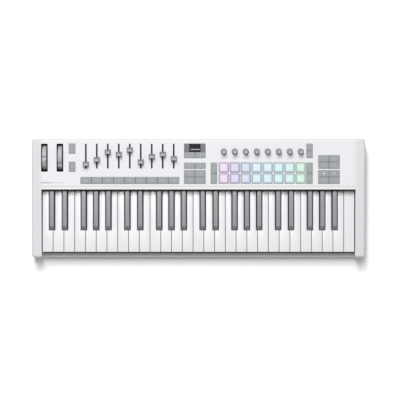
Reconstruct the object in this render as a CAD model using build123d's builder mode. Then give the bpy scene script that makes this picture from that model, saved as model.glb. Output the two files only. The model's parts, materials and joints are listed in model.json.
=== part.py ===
"""A 49-key MIDI controller keyboard with wheels, faders, knobs, pads and buttons.

X runs from the bass end to the treble end, Y from the player to the back, and Z up. The origin is on
the table, under the middle of the case. Sizes are in millimetres and angles in degrees.
"""

import os
from math import cos, radians, sin, tan

from build123d import *

# Keys: their pitch, the gap between neighbours, and the sizes that a player feels.
OCTAVES = 4
KEY_PITCH = 23.5
KEY_GAP = 1.0
KEY_WALL = 2.0
KEY_CEILING = 2.5
WHITE_VISIBLE = 136.3  # from the panel's front edge to the front of the keys
WHITE_TOP = 47.0
WHITE_HEIGHT = 14.0
LIP_HEIGHT = 20.0
LIP_THICKNESS = 2.5
BLACK_VISIBLE = 88.6
BLACK_WIDTH = 12.6
BLACK_TOP_WIDTH = 9.4
BLACK_RISE = 10.5
BLACK_HEIGHT = 12.0
BLACK_NOSE = 7.8  # how far the sloped front leans back
BLACK_SLOT_GAP = 0.8

# Key action: every key snaps over one long bead on the chassis and rocks on it.
PIVOT_BEHIND_PANEL_EDGE = 27.2
PIVOT_Z = 36.0
TAIL_BEYOND_PIVOT = 6.5
TAIL_BLOCK = 8.0  # solid length of the tail in front of the pivot
BEAD_RADIUS = 3.0
BEAD_CLEARANCE = 0.4
WHITE_DIP = 3.5
BLACK_DIP = 4.4
STOP_CLEARANCE = 0.3
GUIDE_CLEARANCE = 0.5
GUIDE_LENGTH = 6.0
GUIDE_HEADROOM = 1.0
WHITE_GUIDE_SETBACK = 19.5
BLACK_GUIDE_SETBACK = 20.0

# Case: two shells that meet at the parting height, under a sloping top.
CHEEK_WIDTH = 21.0
KEY_SIDE_GAP = 1.75
PANEL_DEPTH = 110.7
FRONT_GAP = 2.2
RAIL_DEPTH = 9.8
RAIL_TOP = 24.0
RAIL_RADIUS = 1.6
RAIL_END_GAP = 0.3
BACK_HEIGHT = 65.8
PANEL_SLOPE = 2.5
PARTING_Z = 22.0
WALL = 2.5
CORNER_RADIUS = 6.0
EDGE_RADIUS = 5.0
BASE_EDGE_RADIUS = 1.6
FOOT_HEIGHT = 3.0
FOOT_RADIUS = 8.0
FOOT_RECESS = 0.8
FOOT_INSET = (33.0, 24.5)

# Panel layout: X from the middle, and "back" measured along the panel from the case's back edge.
CONTROL_PITCH = 23.9
APERTURE_GAP = 0.25
APERTURE_CHAMFER = 0.4
OCTAVE_X = -274.8
OCTAVE_BUTTON = (13.8, 21.6)
OCTAVE_BACKS = (22.2, 61.6)
FIRST_FADER_X = -244.9
FADERS = 9
FADER_BACK = 38.65
FIRST_KNOB_X = 55.0
KNOBS = 8
KNOB_BACK = 28.0
PAD_BACKS = (63.4, 87.3)
DISPLAY_X = -7.8
BLOCK_WIDTH = 46.2
NARROW_WIDTH = 13.2
LEFT_COLUMN_X = 33.6
RIGHT_COLUMN_X = 241.7
TRANSPORT_X = 284.1
LOWER_BACKS = (69.2, 98.8)
MIDDLE_BACKS = (36.7, 65.8)
TRACK_BACKS = (53.1, 65.8)
MENU_BACKS = (30.0, 42.6)
FADER_BUTTON_BACKS = (84.2, 98.8)
PAD_SIDE_BACKS = (53.0, 98.8)
BANK_BACKS = (11.6, 42.4)

# Buttons and pads, and what they press.
BUTTON_GAP = 0.6
BUTTON_PROUD = 0.9
BUTTON_DEPTH = 5.0
BUTTON_TRAVEL = 0.8
BUTTON_CORNER = 1.0
STEM_SIZE = 4.0
SWITCH = (6.0, 1.3)
PAD_SIZE = 21.2
PAD_PROUD = 2.0
PAD_DEPTH = 5.5
PAD_TRAVEL = 1.0
PAD_CORNER = 1.6
PLUNGER_SIZE = 12.0
SENSOR = (16.0, 0.5)

# Faders: each has a cap on a lever, in a housing on the board.
FADER_TRAVEL = 45.0
FADER_REST = (-16.5, -7.0, 9.6, 4.8, 14.2, -11.8, 0.0, 4.8, -4.6)  # from mid travel, to the back
FADER_SLOT = (3.4, 9.3)  # width, and length beyond the travel
FADER_CAP = (13.4, 10.6, 11.0)
FADER_CAP_LIFT = 1.0
FADER_CAP_TAPER = 1.1
FADER_SCOOP_RADIUS = 7.0
FADER_SCOOP_DEPTH = 1.5
LEVER = (1.2, 4.0)
LEVER_GAP = 0.4
FADER_HOUSING = (8.4, 6.8)
FADER_HOUSING_SPARE = 15.0
FADER_HOUSING_FLOOR = 0.8
LEVER_END_GAP = 0.4

# Knobs on rotary encoders.
KNOB_RADIUS = 6.6
KNOB_TOP_RADIUS = 5.6
KNOB_HEIGHT = 13.0
KNOB_LIFT = 1.0
KNOB_DISH_RADIUS = 3.4
KNOB_DISH_DEPTH = 0.8
SHAFT_RADIUS = 3.0
SHAFT_FIT = 0.06
SHAFT_END_GAP = 0.5
ENCODER_SIZE = 12.0
ENCODER_HEIGHT = 6.0
BUSHING_RADIUS = 3.9
BUSHING_GAP = 0.3
BUSHING_TOP = 0.3  # below the panel's surface

# Pitch and modulation wheels.
WHEEL_XS = (-335.1, -301.3)
WHEEL_BACK = 41.9
WHEEL_SINK = 17.0  # from the panel's surface down to the axles
WHEEL_RADIUS = 27.0
WHEEL_WIDTH = 9.3
WHEEL_WEB = 3.0
WHEEL_RIM = 5.0
WHEEL_SLOT = (14.2, 60.7)
WHEEL_SLOT_CORNER = 1.5
DIMPLE_RADIUS = 9.0
DIMPLE_DEPTH = 2.6
MOD_REST_ANGLE = 33.0  # its dimple rests this far towards the player
AXLE_RADIUS = 3.0
AXLE_FIT = 0.08
BOSS_RADIUS = 6.5
PLATE_GAP = 1.0
PLATE_THICKNESS = 2.4
PLATE_HALF_LENGTH = 10.0
PLATE_ABOVE_AXLE = 8.0
BRACKET_BASE = (56.0, 2.5)
BRACKET_SCREW_SPREAD = 22.0

# Display: a flush window over a module on the board.
DISPLAY_BACKS = (11.6, 29.4)
WINDOW_SET_DOWN = 0.15
WINDOW_FLANGE = (2.0, 0.8)
MODULE_SIZE = (36.0, 14.0)
MODULE_GAP = 0.4

# Board and its posts, each given as an X and a distance from the back edge.
BOARD_DEPTH = 10.0
BOARD_THICKNESS = 1.6
BOARD_BACKS = (8.0, 104.0)
BOARD_SIDE_MARGIN = 3.0
POST_RADIUS = 3.2
POST_HOLE_FIT = 0.3

# Rear sockets, hung from the board and flush with the back of the case.
USB_X = -232.0
USB_SHELL = (9.2, 3.5)
USB_SHELL_WALL = 0.4
USB_LENGTH = 9.0
USB_MOUTH_DEPTH = 6.5
USB_TONGUE = (6.7, 0.7, 5.0)
USB_BASE_HEIGHT = 3.0
PEDAL_X = -196.0
PEDAL_BODY = (14.0, 27.0, 12.0)
PEDAL_NOSE_RADIUS = 5.6
PEDAL_BORE_RADIUS = 3.25
PEDAL_BORE_DEPTH = 26.0
MIDI_X = -152.0
MIDI_BODY = (20.0, 13.0, 20.0)
MIDI_NOSE_RADIUS = 8.8
MIDI_GROOVE = (6.6, 7.6)
MIDI_GROOVE_DEPTH = 9.0
MIDI_PIN_RADIUS = 0.9
MIDI_PIN_CIRCLE = 3.9
MIDI_PINS = 5
MIDI_PIN_STEP = 45.0
NOSE_GAP = 0.3
NOSE_SET_BACK = 0.3
LOCK_X = -268.0
LOCK_SLOT = (7.0, 3.0)
LOCK_Z = 45.0

# Chassis, contact board, springs and screws.
CHASSIS_PLATE = 3.0
CHASSIS_RIB = 2.4
CHASSIS_SIDE_GAP = 2.0
CHASSIS_FRONT_SETBACK = 7.0
CHASSIS_BACK_SETBACK = 2.0
FELT = (6.0, 1.6)
BLACK_STOP_SETBACK = 2.0
EDGE_FELT = (3.2, 2.0)
EDGE_FELT_GAP = 0.3
CONTACT_TO_PIVOT = 48.0
CONTACT_BOARD_HALF = 16.0
CONTACT_BOARD_Z = 21.0
CONTACT_RIB_INSET = 2.0
BRIDGE_HALF = 3.0
DOME_RADII = (4.0, 2.8)
SPRING_WIDTH = 5.0
SPRING_GAUGE = 0.5
SPRING_FOOT = 8.0
SPRING_LEAN = 18.0
SPRING_GAP = 0.3
SCREW_RADIUS = 1.5
SCREW_LENGTH = 8.0
SCREW_FIT = 0.06
SCREW_HEAD = (2.8, 1.8)
SCREW_TIP_GAP = 0.5
BOSS_WALL = 2.5
CHASSIS_SCREW_XS = (-300.0, -100.0, 100.0, 300.0)

# Worked out from the sizes above.
WHITE_NAMES = ("c", "d", "e", "f", "g", "a", "b")
OCTAVE_SPAN = len(WHITE_NAMES) * KEY_PITCH
KEYS_WIDTH = OCTAVES * OCTAVE_SPAN + KEY_PITCH
OPENING_HALF = KEYS_WIDTH / 2 - KEY_GAP / 2 + KEY_SIDE_GAP
BODY_WIDTH = 2 * (OPENING_HALF + CHEEK_WIDTH)
BODY_DEPTH = PANEL_DEPTH + WHITE_VISIBLE + FRONT_GAP + RAIL_DEPTH
BACK_Y = BODY_DEPTH / 2
FRONT_Y = -BODY_DEPTH / 2
PANEL_FRONT_Y = BACK_Y - PANEL_DEPTH
KEY_FRONT_Y = PANEL_FRONT_Y - WHITE_VISIBLE
BLACK_FRONT_Y = PANEL_FRONT_Y - BLACK_VISIBLE
BLACK_BACK_Y = PANEL_FRONT_Y + WALL
PIVOT_Y = PANEL_FRONT_Y + PIVOT_BEHIND_PANEL_EDGE
TAIL_END_Y = PIVOT_Y + TAIL_BEYOND_PIVOT
POCKET_END_Y = PIVOT_Y - TAIL_BLOCK
CONTACT_Y = PIVOT_Y - CONTACT_TO_PIVOT
BRIDGE_Y = (CONTACT_Y - BRIDGE_HALF, CONTACT_Y + BRIDGE_HALF)
FLOOR_Z = FOOT_HEIGHT + WALL
WHITE_SKIRT_Z = WHITE_TOP - WHITE_HEIGHT
BLACK_SKIRT_Z = WHITE_TOP - BLACK_HEIGHT
CEILING_Z = WHITE_TOP - KEY_CEILING
SLOPE = radians(PANEL_SLOPE)
PANEL = Plane(origin=(0, BACK_Y, BACK_HEIGHT), x_dir=(1, 0, 0), z_dir=(0, -sin(SLOPE), cos(SLOPE)))
BOARD_X = (
    OCTAVE_X - OCTAVE_BUTTON[0] / 2 - BOARD_SIDE_MARGIN,
    TRANSPORT_X + BLOCK_WIDTH / 2 + BOARD_SIDE_MARGIN,
)
FADER_XS = [FIRST_FADER_X + i * CONTROL_PITCH for i in range(FADERS)]
KNOB_XS = [FIRST_KNOB_X + i * CONTROL_PITCH for i in range(KNOBS)]
SLOT_HALF = BLACK_WIDTH / 2 + BLACK_SLOT_GAP
SLOT_FRONT_Y = BLACK_FRONT_Y - BLACK_SLOT_GAP


def panel_z(y):
    """Height of the case's top surface at y."""
    return BACK_HEIGHT - (BACK_Y - y) * tan(SLOPE)


def dipped(y, z, degrees):
    """Height that a point of a key has when the key is fully down."""
    return PIVOT_Z - (PIVOT_Y - y) * sin(radians(degrees)) + (z - PIVOT_Z) * cos(radians(degrees))


def save(piece, name):
    """Labels a finished piece and writes it."""
    piece.part.label = name
    export_step(piece.part, f"parts/{name}.step")


def block(x_span, y_span, z_span, mode=Mode.ADD):
    """Adds a box to the part being built, or cuts it away, from its spans along X, Y and Z."""
    spans = (x_span, y_span, z_span)
    with Locations(tuple(sum(span) / 2 for span in spans)):
        Box(*(span[1] - span[0] for span in spans), mode=mode)


def spread(middle, half):
    """The span that reaches half to each side of the middle."""
    return (middle - half, middle + half)


os.makedirs("parts", exist_ok=True)


# ---- The keys -------------------------------------------------------------------------------------

# Within C to E, and within F to B, the black keys and the white tails share the width evenly.
LEFT_X = -KEYS_WIDTH / 2
OCTAVE_XS = [LEFT_X + i * OCTAVE_SPAN for i in range(OCTAVES)]
LOWER_FIFTH = 3 * KEY_PITCH / 5
UPPER_SEVENTH = 4 * KEY_PITCH / 7
BLACK_OFFSETS = {
    "c_sharp": 1.5 * LOWER_FIFTH,
    "d_sharp": 3.5 * LOWER_FIFTH,
    "f_sharp": 3 * KEY_PITCH + 1.5 * UPPER_SEVENTH,
    "g_sharp": 3 * KEY_PITCH + 3.5 * UPPER_SEVENTH,
    "a_sharp": 3 * KEY_PITCH + 5.5 * UPPER_SEVENTH,
}
BLACK_XS = {name: [x + offset for x in OCTAVE_XS] for name, offset in BLACK_OFFSETS.items()}
ALL_BLACK_XS = sorted(x for xs in BLACK_XS.values() for x in xs)


def white_sides(name):
    """Left and right sides of the white keys of one name; the top C ends the keyboard."""
    place = WHITE_NAMES.index(name)
    starts = [x + place * KEY_PITCH for x in OCTAVE_XS]
    if name == "c":
        starts.append(LEFT_X + OCTAVES * OCTAVE_SPAN)
    return [(x + KEY_GAP / 2, x + KEY_PITCH - KEY_GAP / 2) for x in starts]


def tail_sides(sides):
    """Sides of a white key's tail, which is cut back where a black key stands beside it."""
    low, high = sides
    for x in ALL_BLACK_XS:
        if abs(x - sides[0]) < SLOT_HALF:
            low = x + SLOT_HALF
        if abs(x - sides[1]) < SLOT_HALF:
            high = x - SLOT_HALF
    return low, high


def cut_pivot_notches():
    """Opens the snap-on notch across the tails of the keys being built."""
    radius = BEAD_RADIUS + BEAD_CLEARANCE
    with BuildSketch(Plane.YZ) as notch:
        with Locations((PIVOT_Y, PIVOT_Z)):
            Circle(radius)
            Rectangle(2 * radius, WHITE_HEIGHT, align=(Align.CENTER, Align.MAX))
    extrude(notch.sketch, amount=KEYS_WIDTH, both=True, mode=Mode.SUBTRACT)


# White keys: hollow mouldings with a deep front lip, cut away beside the black keys.
for name in WHITE_NAMES:
    with BuildPart() as white_keys:
        for sides in white_sides(name):
            tail = tail_sides(sides)
            inside = (sides[0] + KEY_WALL, sides[1] - KEY_WALL)
            tail_inside = (tail[0] + KEY_WALL, tail[1] - KEY_WALL)
            back_of_lip = KEY_FRONT_Y + LIP_THICKNESS
            block(sides, (KEY_FRONT_Y, SLOT_FRONT_Y), (WHITE_SKIRT_Z, WHITE_TOP))
            block(tail, (SLOT_FRONT_Y, TAIL_END_Y), (WHITE_SKIRT_Z, WHITE_TOP))
            block(sides, (KEY_FRONT_Y, back_of_lip), (WHITE_TOP - LIP_HEIGHT, WHITE_SKIRT_Z))
            hollow = (WHITE_SKIRT_Z, CEILING_Z)
            block(inside, (back_of_lip, SLOT_FRONT_Y - KEY_WALL), hollow, Mode.SUBTRACT)
            block(tail_inside, (SLOT_FRONT_Y + KEY_WALL, BRIDGE_Y[0]), hollow, Mode.SUBTRACT)
            block(tail_inside, (BRIDGE_Y[1], POCKET_END_Y), hollow, Mode.SUBTRACT)
        cut_pivot_notches()
    save(white_keys, f"keys_{name}")

# Black keys: hollow too, with a cap that tapers to a narrower top behind a sloped nose.
for name, centres in BLACK_XS.items():
    with BuildPart() as black_keys:
        for x in centres:
            base_length = BLACK_BACK_Y - BLACK_FRONT_Y
            block(spread(x, BLACK_WIDTH / 2), (BLACK_FRONT_Y, TAIL_END_Y), (BLACK_SKIRT_Z, WHITE_TOP))
            with BuildSketch(Plane.XY.offset(WHITE_TOP)):
                with Locations((x, BLACK_BACK_Y)):
                    Rectangle(BLACK_WIDTH, base_length, align=(Align.CENTER, Align.MAX))
            with BuildSketch(Plane.XY.offset(WHITE_TOP + BLACK_RISE)):
                with Locations((x, BLACK_BACK_Y)):
                    Rectangle(BLACK_TOP_WIDTH, base_length - BLACK_NOSE, align=(Align.CENTER, Align.MAX))
            loft()
            inside = spread(x, BLACK_WIDTH / 2 - KEY_WALL)
            core = spread(x, BLACK_TOP_WIDTH / 2 - KEY_WALL)
            front = BLACK_FRONT_Y + BLACK_NOSE
            block(inside, (front, BRIDGE_Y[0]), (BLACK_SKIRT_Z, CEILING_Z), Mode.SUBTRACT)
            block(inside, (BRIDGE_Y[1], POCKET_END_Y), (BLACK_SKIRT_Z, CEILING_Z), Mode.SUBTRACT)
            core_z = (CEILING_Z, WHITE_TOP + BLACK_RISE - KEY_CEILING)
            block(core, (front + BLACK_NOSE, BRIDGE_Y[0]), core_z, Mode.SUBTRACT)
        cut_pivot_notches()
    save(black_keys, f"keys_{name}")


# ---- Under the keys -------------------------------------------------------------------------------

WHITE_MIDDLES = [sum(sides) / 2 for name in WHITE_NAMES for sides in white_sides(name)]
WHITE_TAIL_MIDDLES = [sum(tail_sides(sides)) / 2 for name in WHITE_NAMES for sides in white_sides(name)]
ALL_KEY_XS = sorted(WHITE_TAIL_MIDDLES + ALL_BLACK_XS)
CHASSIS_HALF = OPENING_HALF - CHASSIS_SIDE_GAP
CHASSIS_FRONT_Y = KEY_FRONT_Y + CHASSIS_FRONT_SETBACK
CHASSIS_BACK_Y = TAIL_END_Y - CHASSIS_BACK_SETBACK
CHASSIS_TOP = FLOOR_Z + CHASSIS_PLATE
FULL_WIDTH = spread(0, CHASSIS_HALF)
WHITE_STOP_Z = dipped(CHASSIS_FRONT_Y, WHITE_SKIRT_Z, WHITE_DIP) - STOP_CLEARANCE
BLACK_STOP_Y = BLACK_FRONT_Y + BLACK_STOP_SETBACK
LOWEST_OVER_BLACK_STOP = min(
    dipped(BLACK_STOP_Y, WHITE_SKIRT_Z, WHITE_DIP), dipped(BLACK_STOP_Y, BLACK_SKIRT_Z, BLACK_DIP)
)
BLACK_STOP_Z = LOWEST_OVER_BLACK_STOP - STOP_CLEARANCE
STOPS = ((CHASSIS_FRONT_Y, WHITE_STOP_Z), (BLACK_STOP_Y, BLACK_STOP_Z))
CONTACT_BOARD_Y = spread(CONTACT_Y, CONTACT_BOARD_HALF)
SCREW_HOLE_DEPTH = SCREW_LENGTH - WALL + SCREW_TIP_GAP
SCREW_BOSS_TOP = FLOOR_Z + SCREW_HOLE_DEPTH + BOSS_WALL
CHASSIS_SCREW_YS = ((CHASSIS_FRONT_Y + BLACK_STOP_Y) / 2, CONTACT_Y)
CHASSIS_SCREWS = [(x, y) for x in CHASSIS_SCREW_XS for y in CHASSIS_SCREW_YS]


def key_guide(x, half_width, y, dip):
    """A post that stands up inside a key and keeps it straight."""
    top = dipped(y, CEILING_Z, dip) - GUIDE_HEADROOM
    block(spread(x, half_width - GUIDE_CLEARANCE), spread(y, GUIDE_LENGTH / 2), (CHASSIS_TOP, top))


def screw_bosses(places):
    """Posts on the floor of the case, drilled from below for the screws."""
    with Locations(*[(x, y, FLOOR_Z) for x, y in places]):
        bottom_up = (Align.CENTER, Align.CENTER, Align.MIN)
        Cylinder(SCREW_RADIUS + BOSS_WALL, SCREW_BOSS_TOP - FLOOR_Z, align=bottom_up)
        Cylinder(SCREW_RADIUS + SCREW_FIT, SCREW_HOLE_DEPTH, align=bottom_up, mode=Mode.SUBTRACT)


# Chassis: a plate with the pivot bead along its back, guides, stop ledges and contact board ribs.
with BuildPart() as key_chassis:
    block(FULL_WIDTH, (CHASSIS_FRONT_Y, CHASSIS_BACK_Y), (FLOOR_Z, CHASSIS_TOP))
    for y, top in STOPS:
        block(FULL_WIDTH, (y, y + FELT[0]), (CHASSIS_TOP, top - FELT[1]))
    for y in spread(CONTACT_Y, CONTACT_BOARD_HALF - CONTACT_RIB_INSET):
        rib_top = CONTACT_BOARD_Z - BOARD_THICKNESS
        block(FULL_WIDTH, spread(y, CHASSIS_RIB / 2), (CHASSIS_TOP, rib_top))
    block(FULL_WIDTH, spread(PIVOT_Y, CHASSIS_RIB / 2), (CHASSIS_TOP, PIVOT_Z))
    with BuildSketch(Plane.YZ):
        with Locations((PIVOT_Y, PIVOT_Z)):
            Circle(BEAD_RADIUS)
    extrude(amount=CHASSIS_HALF, both=True)
    for x in WHITE_MIDDLES:
        inner_half = (KEY_PITCH - KEY_GAP) / 2 - KEY_WALL
        key_guide(x, inner_half, KEY_FRONT_Y + WHITE_GUIDE_SETBACK, WHITE_DIP)
    for x in ALL_BLACK_XS:
        key_guide(x, BLACK_WIDTH / 2 - KEY_WALL, BLACK_FRONT_Y + BLACK_GUIDE_SETBACK, BLACK_DIP)
    screw_bosses(CHASSIS_SCREWS)
save(key_chassis, "key_chassis")

# Felts: two strips that the keys land on, and one glued along the panel's edge to close the gap
# over the keys.
with BuildPart() as key_stop_felts:
    for y, top in STOPS:
        block(FULL_WIDTH, (y, y + FELT[0]), (top - FELT[1], top))
    edge_top = panel_z(PANEL_FRONT_Y) - EDGE_FELT_GAP
    edge_y = (PANEL_FRONT_Y - EDGE_FELT[0], PANEL_FRONT_Y)
    block(spread(0, OPENING_HALF - EDGE_FELT_GAP), edge_y, (edge_top - EDGE_FELT[1], edge_top))
save(key_stop_felts, "key_stop_felts")

# Contact board under the keys.
with BuildPart() as key_contact_board:
    block(FULL_WIDTH, CONTACT_BOARD_Y, (CONTACT_BOARD_Z - BOARD_THICKNESS, CONTACT_BOARD_Z))
save(key_contact_board, "key_contact_board")

# Contact domes: a rubber dome on the board for each key, which the key's inner bridge presses.
DOME_TOP = dipped(BRIDGE_Y[0], WHITE_SKIRT_Z, WHITE_DIP) - STOP_CLEARANCE
with BuildPart() as key_contact_domes:
    with Locations(*[(x, CONTACT_Y, CONTACT_BOARD_Z) for x in ALL_KEY_XS]):
        dome_height = DOME_TOP - CONTACT_BOARD_Z
        Cone(*DOME_RADII, dome_height, align=(Align.CENTER, Align.CENTER, Align.MIN))
save(key_contact_domes, "key_contact_domes")

# Return springs: a steel leaf under each key, bent up from the chassis to the key's ceiling.
FOOT_END_Y = POCKET_END_Y - SPRING_GAUGE
BEND_Y = FOOT_END_Y - SPRING_FOOT
SPRING_TOP = CEILING_Z - SPRING_GAP
with BuildPart() as key_springs:
    for x in ALL_KEY_XS:
        with BuildSketch(Plane.YZ.offset(x)):
            with BuildLine():
                Polyline(
                    (FOOT_END_Y, CHASSIS_TOP),
                    (BEND_Y, CHASSIS_TOP),
                    (BEND_Y - SPRING_LEAN, SPRING_TOP),
                    (BEND_Y - SPRING_LEAN + SPRING_GAUGE, SPRING_TOP),
                    (BEND_Y + SPRING_GAUGE, CHASSIS_TOP + SPRING_GAUGE),
                    (FOOT_END_Y, CHASSIS_TOP + SPRING_GAUGE),
                    close=True,
                )
            make_face()
        extrude(amount=SPRING_WIDTH / 2, both=True)
save(key_springs, "key_springs")


# ---- What stands on the panel ---------------------------------------------------------------------

OCTAVE_BLOCKS = [
    (OCTAVE_X, OCTAVE_BUTTON[0], spread(back, OCTAVE_BUTTON[1] / 2), 1, 1) for back in OCTAVE_BACKS
]
FADER_BUTTONS_WIDTH = FADERS * CONTROL_PITCH - BUTTON_GAP
FADER_BUTTONS_X = (FADER_XS[0] + FADER_XS[-1]) / 2

# Every block of buttons: its X, width, near and far edges, and its columns and rows.
BUTTON_BLOCKS = {
    "octave_buttons": OCTAVE_BLOCKS,
    "fader_buttons": [(FADER_BUTTONS_X, FADER_BUTTONS_WIDTH, FADER_BUTTON_BACKS, FADERS, 1)],
    "menu_buttons": [
        (DISPLAY_X, BLOCK_WIDTH, MENU_BACKS, 2, 1),
        (DISPLAY_X, BLOCK_WIDTH, TRACK_BACKS, 2, 1),
    ],
    "mode_buttons": [(DISPLAY_X, BLOCK_WIDTH, LOWER_BACKS, 2, 2)],
    "knob_bank_buttons": [(RIGHT_COLUMN_X, NARROW_WIDTH, BANK_BACKS, 1, 2)],
    "pad_side_buttons": [
        (LEFT_COLUMN_X, NARROW_WIDTH, PAD_SIDE_BACKS, 1, 2),
        (RIGHT_COLUMN_X, NARROW_WIDTH, PAD_SIDE_BACKS, 1, 2),
    ],
    "transport_buttons": [
        (TRANSPORT_X, BLOCK_WIDTH, MIDDLE_BACKS, 2, 2),
        (TRANSPORT_X, BLOCK_WIDTH, LOWER_BACKS, 2, 2),
    ],
}
BUTTON_STEM_END = BOARD_DEPTH - SWITCH[1] - BUTTON_TRAVEL - STOP_CLEARANCE
PLUNGER_END = BOARD_DEPTH - SENSOR[1] - PAD_TRAVEL - STOP_CLEARANCE


def button_places(button_block):
    """Size of the buttons in a block, and their middles on the panel's plane."""
    x, width, backs, columns, rows = button_block
    pitch_x = (width + BUTTON_GAP) / columns
    pitch_y = (backs[1] - backs[0] + BUTTON_GAP) / rows
    middles = [
        (x + (column - (columns - 1) / 2) * pitch_x, (row - (rows - 1) / 2) * pitch_y - sum(backs) / 2)
        for row in range(rows)
        for column in range(columns)
    ]
    return (pitch_x - BUTTON_GAP, pitch_y - BUTTON_GAP), middles


ALL_BUTTON_MIDDLES = [
    middle for blocks in BUTTON_BLOCKS.values() for b in blocks for middle in button_places(b)[1]
]

# Buttons: caps in shared openings, each with a stem that ends just over its switch.
for name, blocks in BUTTON_BLOCKS.items():
    with BuildPart() as buttons:
        for button_block in blocks:
            size, middles = button_places(button_block)
            with BuildSketch(PANEL.offset(BUTTON_PROUD)):
                with Locations(*middles):
                    RectangleRounded(*size, BUTTON_CORNER)
            extrude(amount=-BUTTON_PROUD - BUTTON_DEPTH)
            with BuildSketch(PANEL.offset(-BUTTON_DEPTH)):
                with Locations(*middles):
                    Rectangle(STEM_SIZE, STEM_SIZE)
            extrude(amount=BUTTON_DEPTH - BUTTON_STEM_END)
    save(buttons, name)

# Pads: two rows, each saved as its odd and its even columns.
for row, back in zip(("upper", "lower"), PAD_BACKS):
    for columns, xs in (("odd", KNOB_XS[0::2]), ("even", KNOB_XS[1::2])):
        with BuildPart() as pads:
            middles = [(x, -back) for x in xs]
            with BuildSketch(PANEL.offset(PAD_PROUD)):
                with Locations(*middles):
                    RectangleRounded(PAD_SIZE, PAD_SIZE, PAD_CORNER)
            extrude(amount=-PAD_PROUD - PAD_DEPTH)
            with BuildSketch(PANEL.offset(-PAD_DEPTH)):
                with Locations(*middles):
                    Rectangle(PLUNGER_SIZE, PLUNGER_SIZE)
            extrude(amount=PAD_DEPTH - PLUNGER_END)
        save(pads, f"pads_{row}_{columns}")

# Fader caps: scooped across the top, each on a flat lever that runs down into its housing.
LEVER_END = BOARD_DEPTH - FADER_HOUSING_FLOOR - LEVER_END_GAP
for number, (x, rest) in enumerate(zip(FADER_XS, FADER_REST), start=1):
    middle = (x, rest - FADER_BACK)
    cap_top = FADER_CAP_LIFT + FADER_CAP[2]
    with BuildPart() as fader:
        with BuildSketch(PANEL.offset(FADER_CAP_LIFT)):
            with Locations(middle):
                Rectangle(FADER_CAP[0], FADER_CAP[1])
        with BuildSketch(PANEL.offset(cap_top)):
            with Locations(middle):
                Rectangle(FADER_CAP[0] - FADER_CAP_TAPER, FADER_CAP[1] - FADER_CAP_TAPER)
        loft()
        scoop_middle = (middle[1], cap_top + FADER_SCOOP_RADIUS - FADER_SCOOP_DEPTH)
        with BuildSketch(Plane(origin=PANEL.origin, x_dir=PANEL.y_dir, z_dir=PANEL.x_dir)):
            with Locations(scoop_middle):
                Circle(FADER_SCOOP_RADIUS)
        extrude(amount=BODY_WIDTH, both=True, mode=Mode.SUBTRACT)
        with BuildSketch(PANEL.offset(FADER_CAP_LIFT)):
            with Locations(middle):
                Rectangle(*LEVER)
        extrude(amount=-FADER_CAP_LIFT - LEVER_END)
    save(fader, f"fader_{number}")

# Knobs: a tapered cap with a shallow dish, and the shaft that turns in the encoder.
SHAFT_END = BOARD_DEPTH - SHAFT_END_GAP
for number, x in enumerate(KNOB_XS, start=1):
    with BuildPart() as knob:
        with BuildSketch(Plane.XZ):
            with BuildLine():
                Polyline(
                    (0, -SHAFT_END),
                    (SHAFT_RADIUS, -SHAFT_END),
                    (SHAFT_RADIUS, KNOB_LIFT),
                    (KNOB_RADIUS, KNOB_LIFT),
                    (KNOB_TOP_RADIUS, KNOB_LIFT + KNOB_HEIGHT),
                    (KNOB_DISH_RADIUS, KNOB_LIFT + KNOB_HEIGHT),
                    (0, KNOB_LIFT + KNOB_HEIGHT - KNOB_DISH_DEPTH),
                    close=True,
                )
            make_face()
        revolve(axis=Axis.Z)
    knob.part = PANEL.location * Pos(x, -KNOB_BACK, 0) * knob.part
    save(knob, f"knob_{number}")


# ---- Wheels ---------------------------------------------------------------------------------------

AXLE = PANEL.from_local_coords(Vector(0, -WHEEL_BACK, -WHEEL_SINK))
PLATE_HALVES = (WHEEL_WIDTH / 2 + PLATE_GAP, WHEEL_WIDTH / 2 + PLATE_GAP + PLATE_THICKNESS)

# Wheels: a rim on a thin web, with a thumb dimple, on an axle that ends flush with its plates.
for name, x, forward in zip(("pitch_wheel", "mod_wheel"), WHEEL_XS, (0.0, MOD_REST_ANGLE)):
    lean = radians(PANEL_SLOPE + forward)
    dimple_reach = WHEEL_RADIUS + DIMPLE_RADIUS - DIMPLE_DEPTH
    side = Plane.YZ.offset(x)
    with BuildPart() as wheel:
        with BuildSketch(side):
            with Locations((AXLE.Y, AXLE.Z)):
                Circle(WHEEL_RADIUS)
            with Locations((AXLE.Y - dimple_reach * sin(lean), AXLE.Z + dimple_reach * cos(lean))):
                Circle(DIMPLE_RADIUS, mode=Mode.SUBTRACT)
        extrude(amount=WHEEL_WIDTH / 2, both=True)
        for start in spread(0, WHEEL_WIDTH / 2):
            with BuildSketch(side.offset(start)):
                with Locations((AXLE.Y, AXLE.Z)):
                    Circle(WHEEL_RADIUS - WHEEL_RIM)
                    Circle(BOSS_RADIUS, mode=Mode.SUBTRACT)
            recess = (WHEEL_WIDTH - WHEEL_WEB) / 2
            extrude(amount=recess if start < 0 else -recess, mode=Mode.SUBTRACT)
        with BuildSketch(side):
            with Locations((AXLE.Y, AXLE.Z)):
                Circle(AXLE_RADIUS)
        extrude(amount=PLATE_HALVES[1], both=True)
    save(wheel, name)

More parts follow.
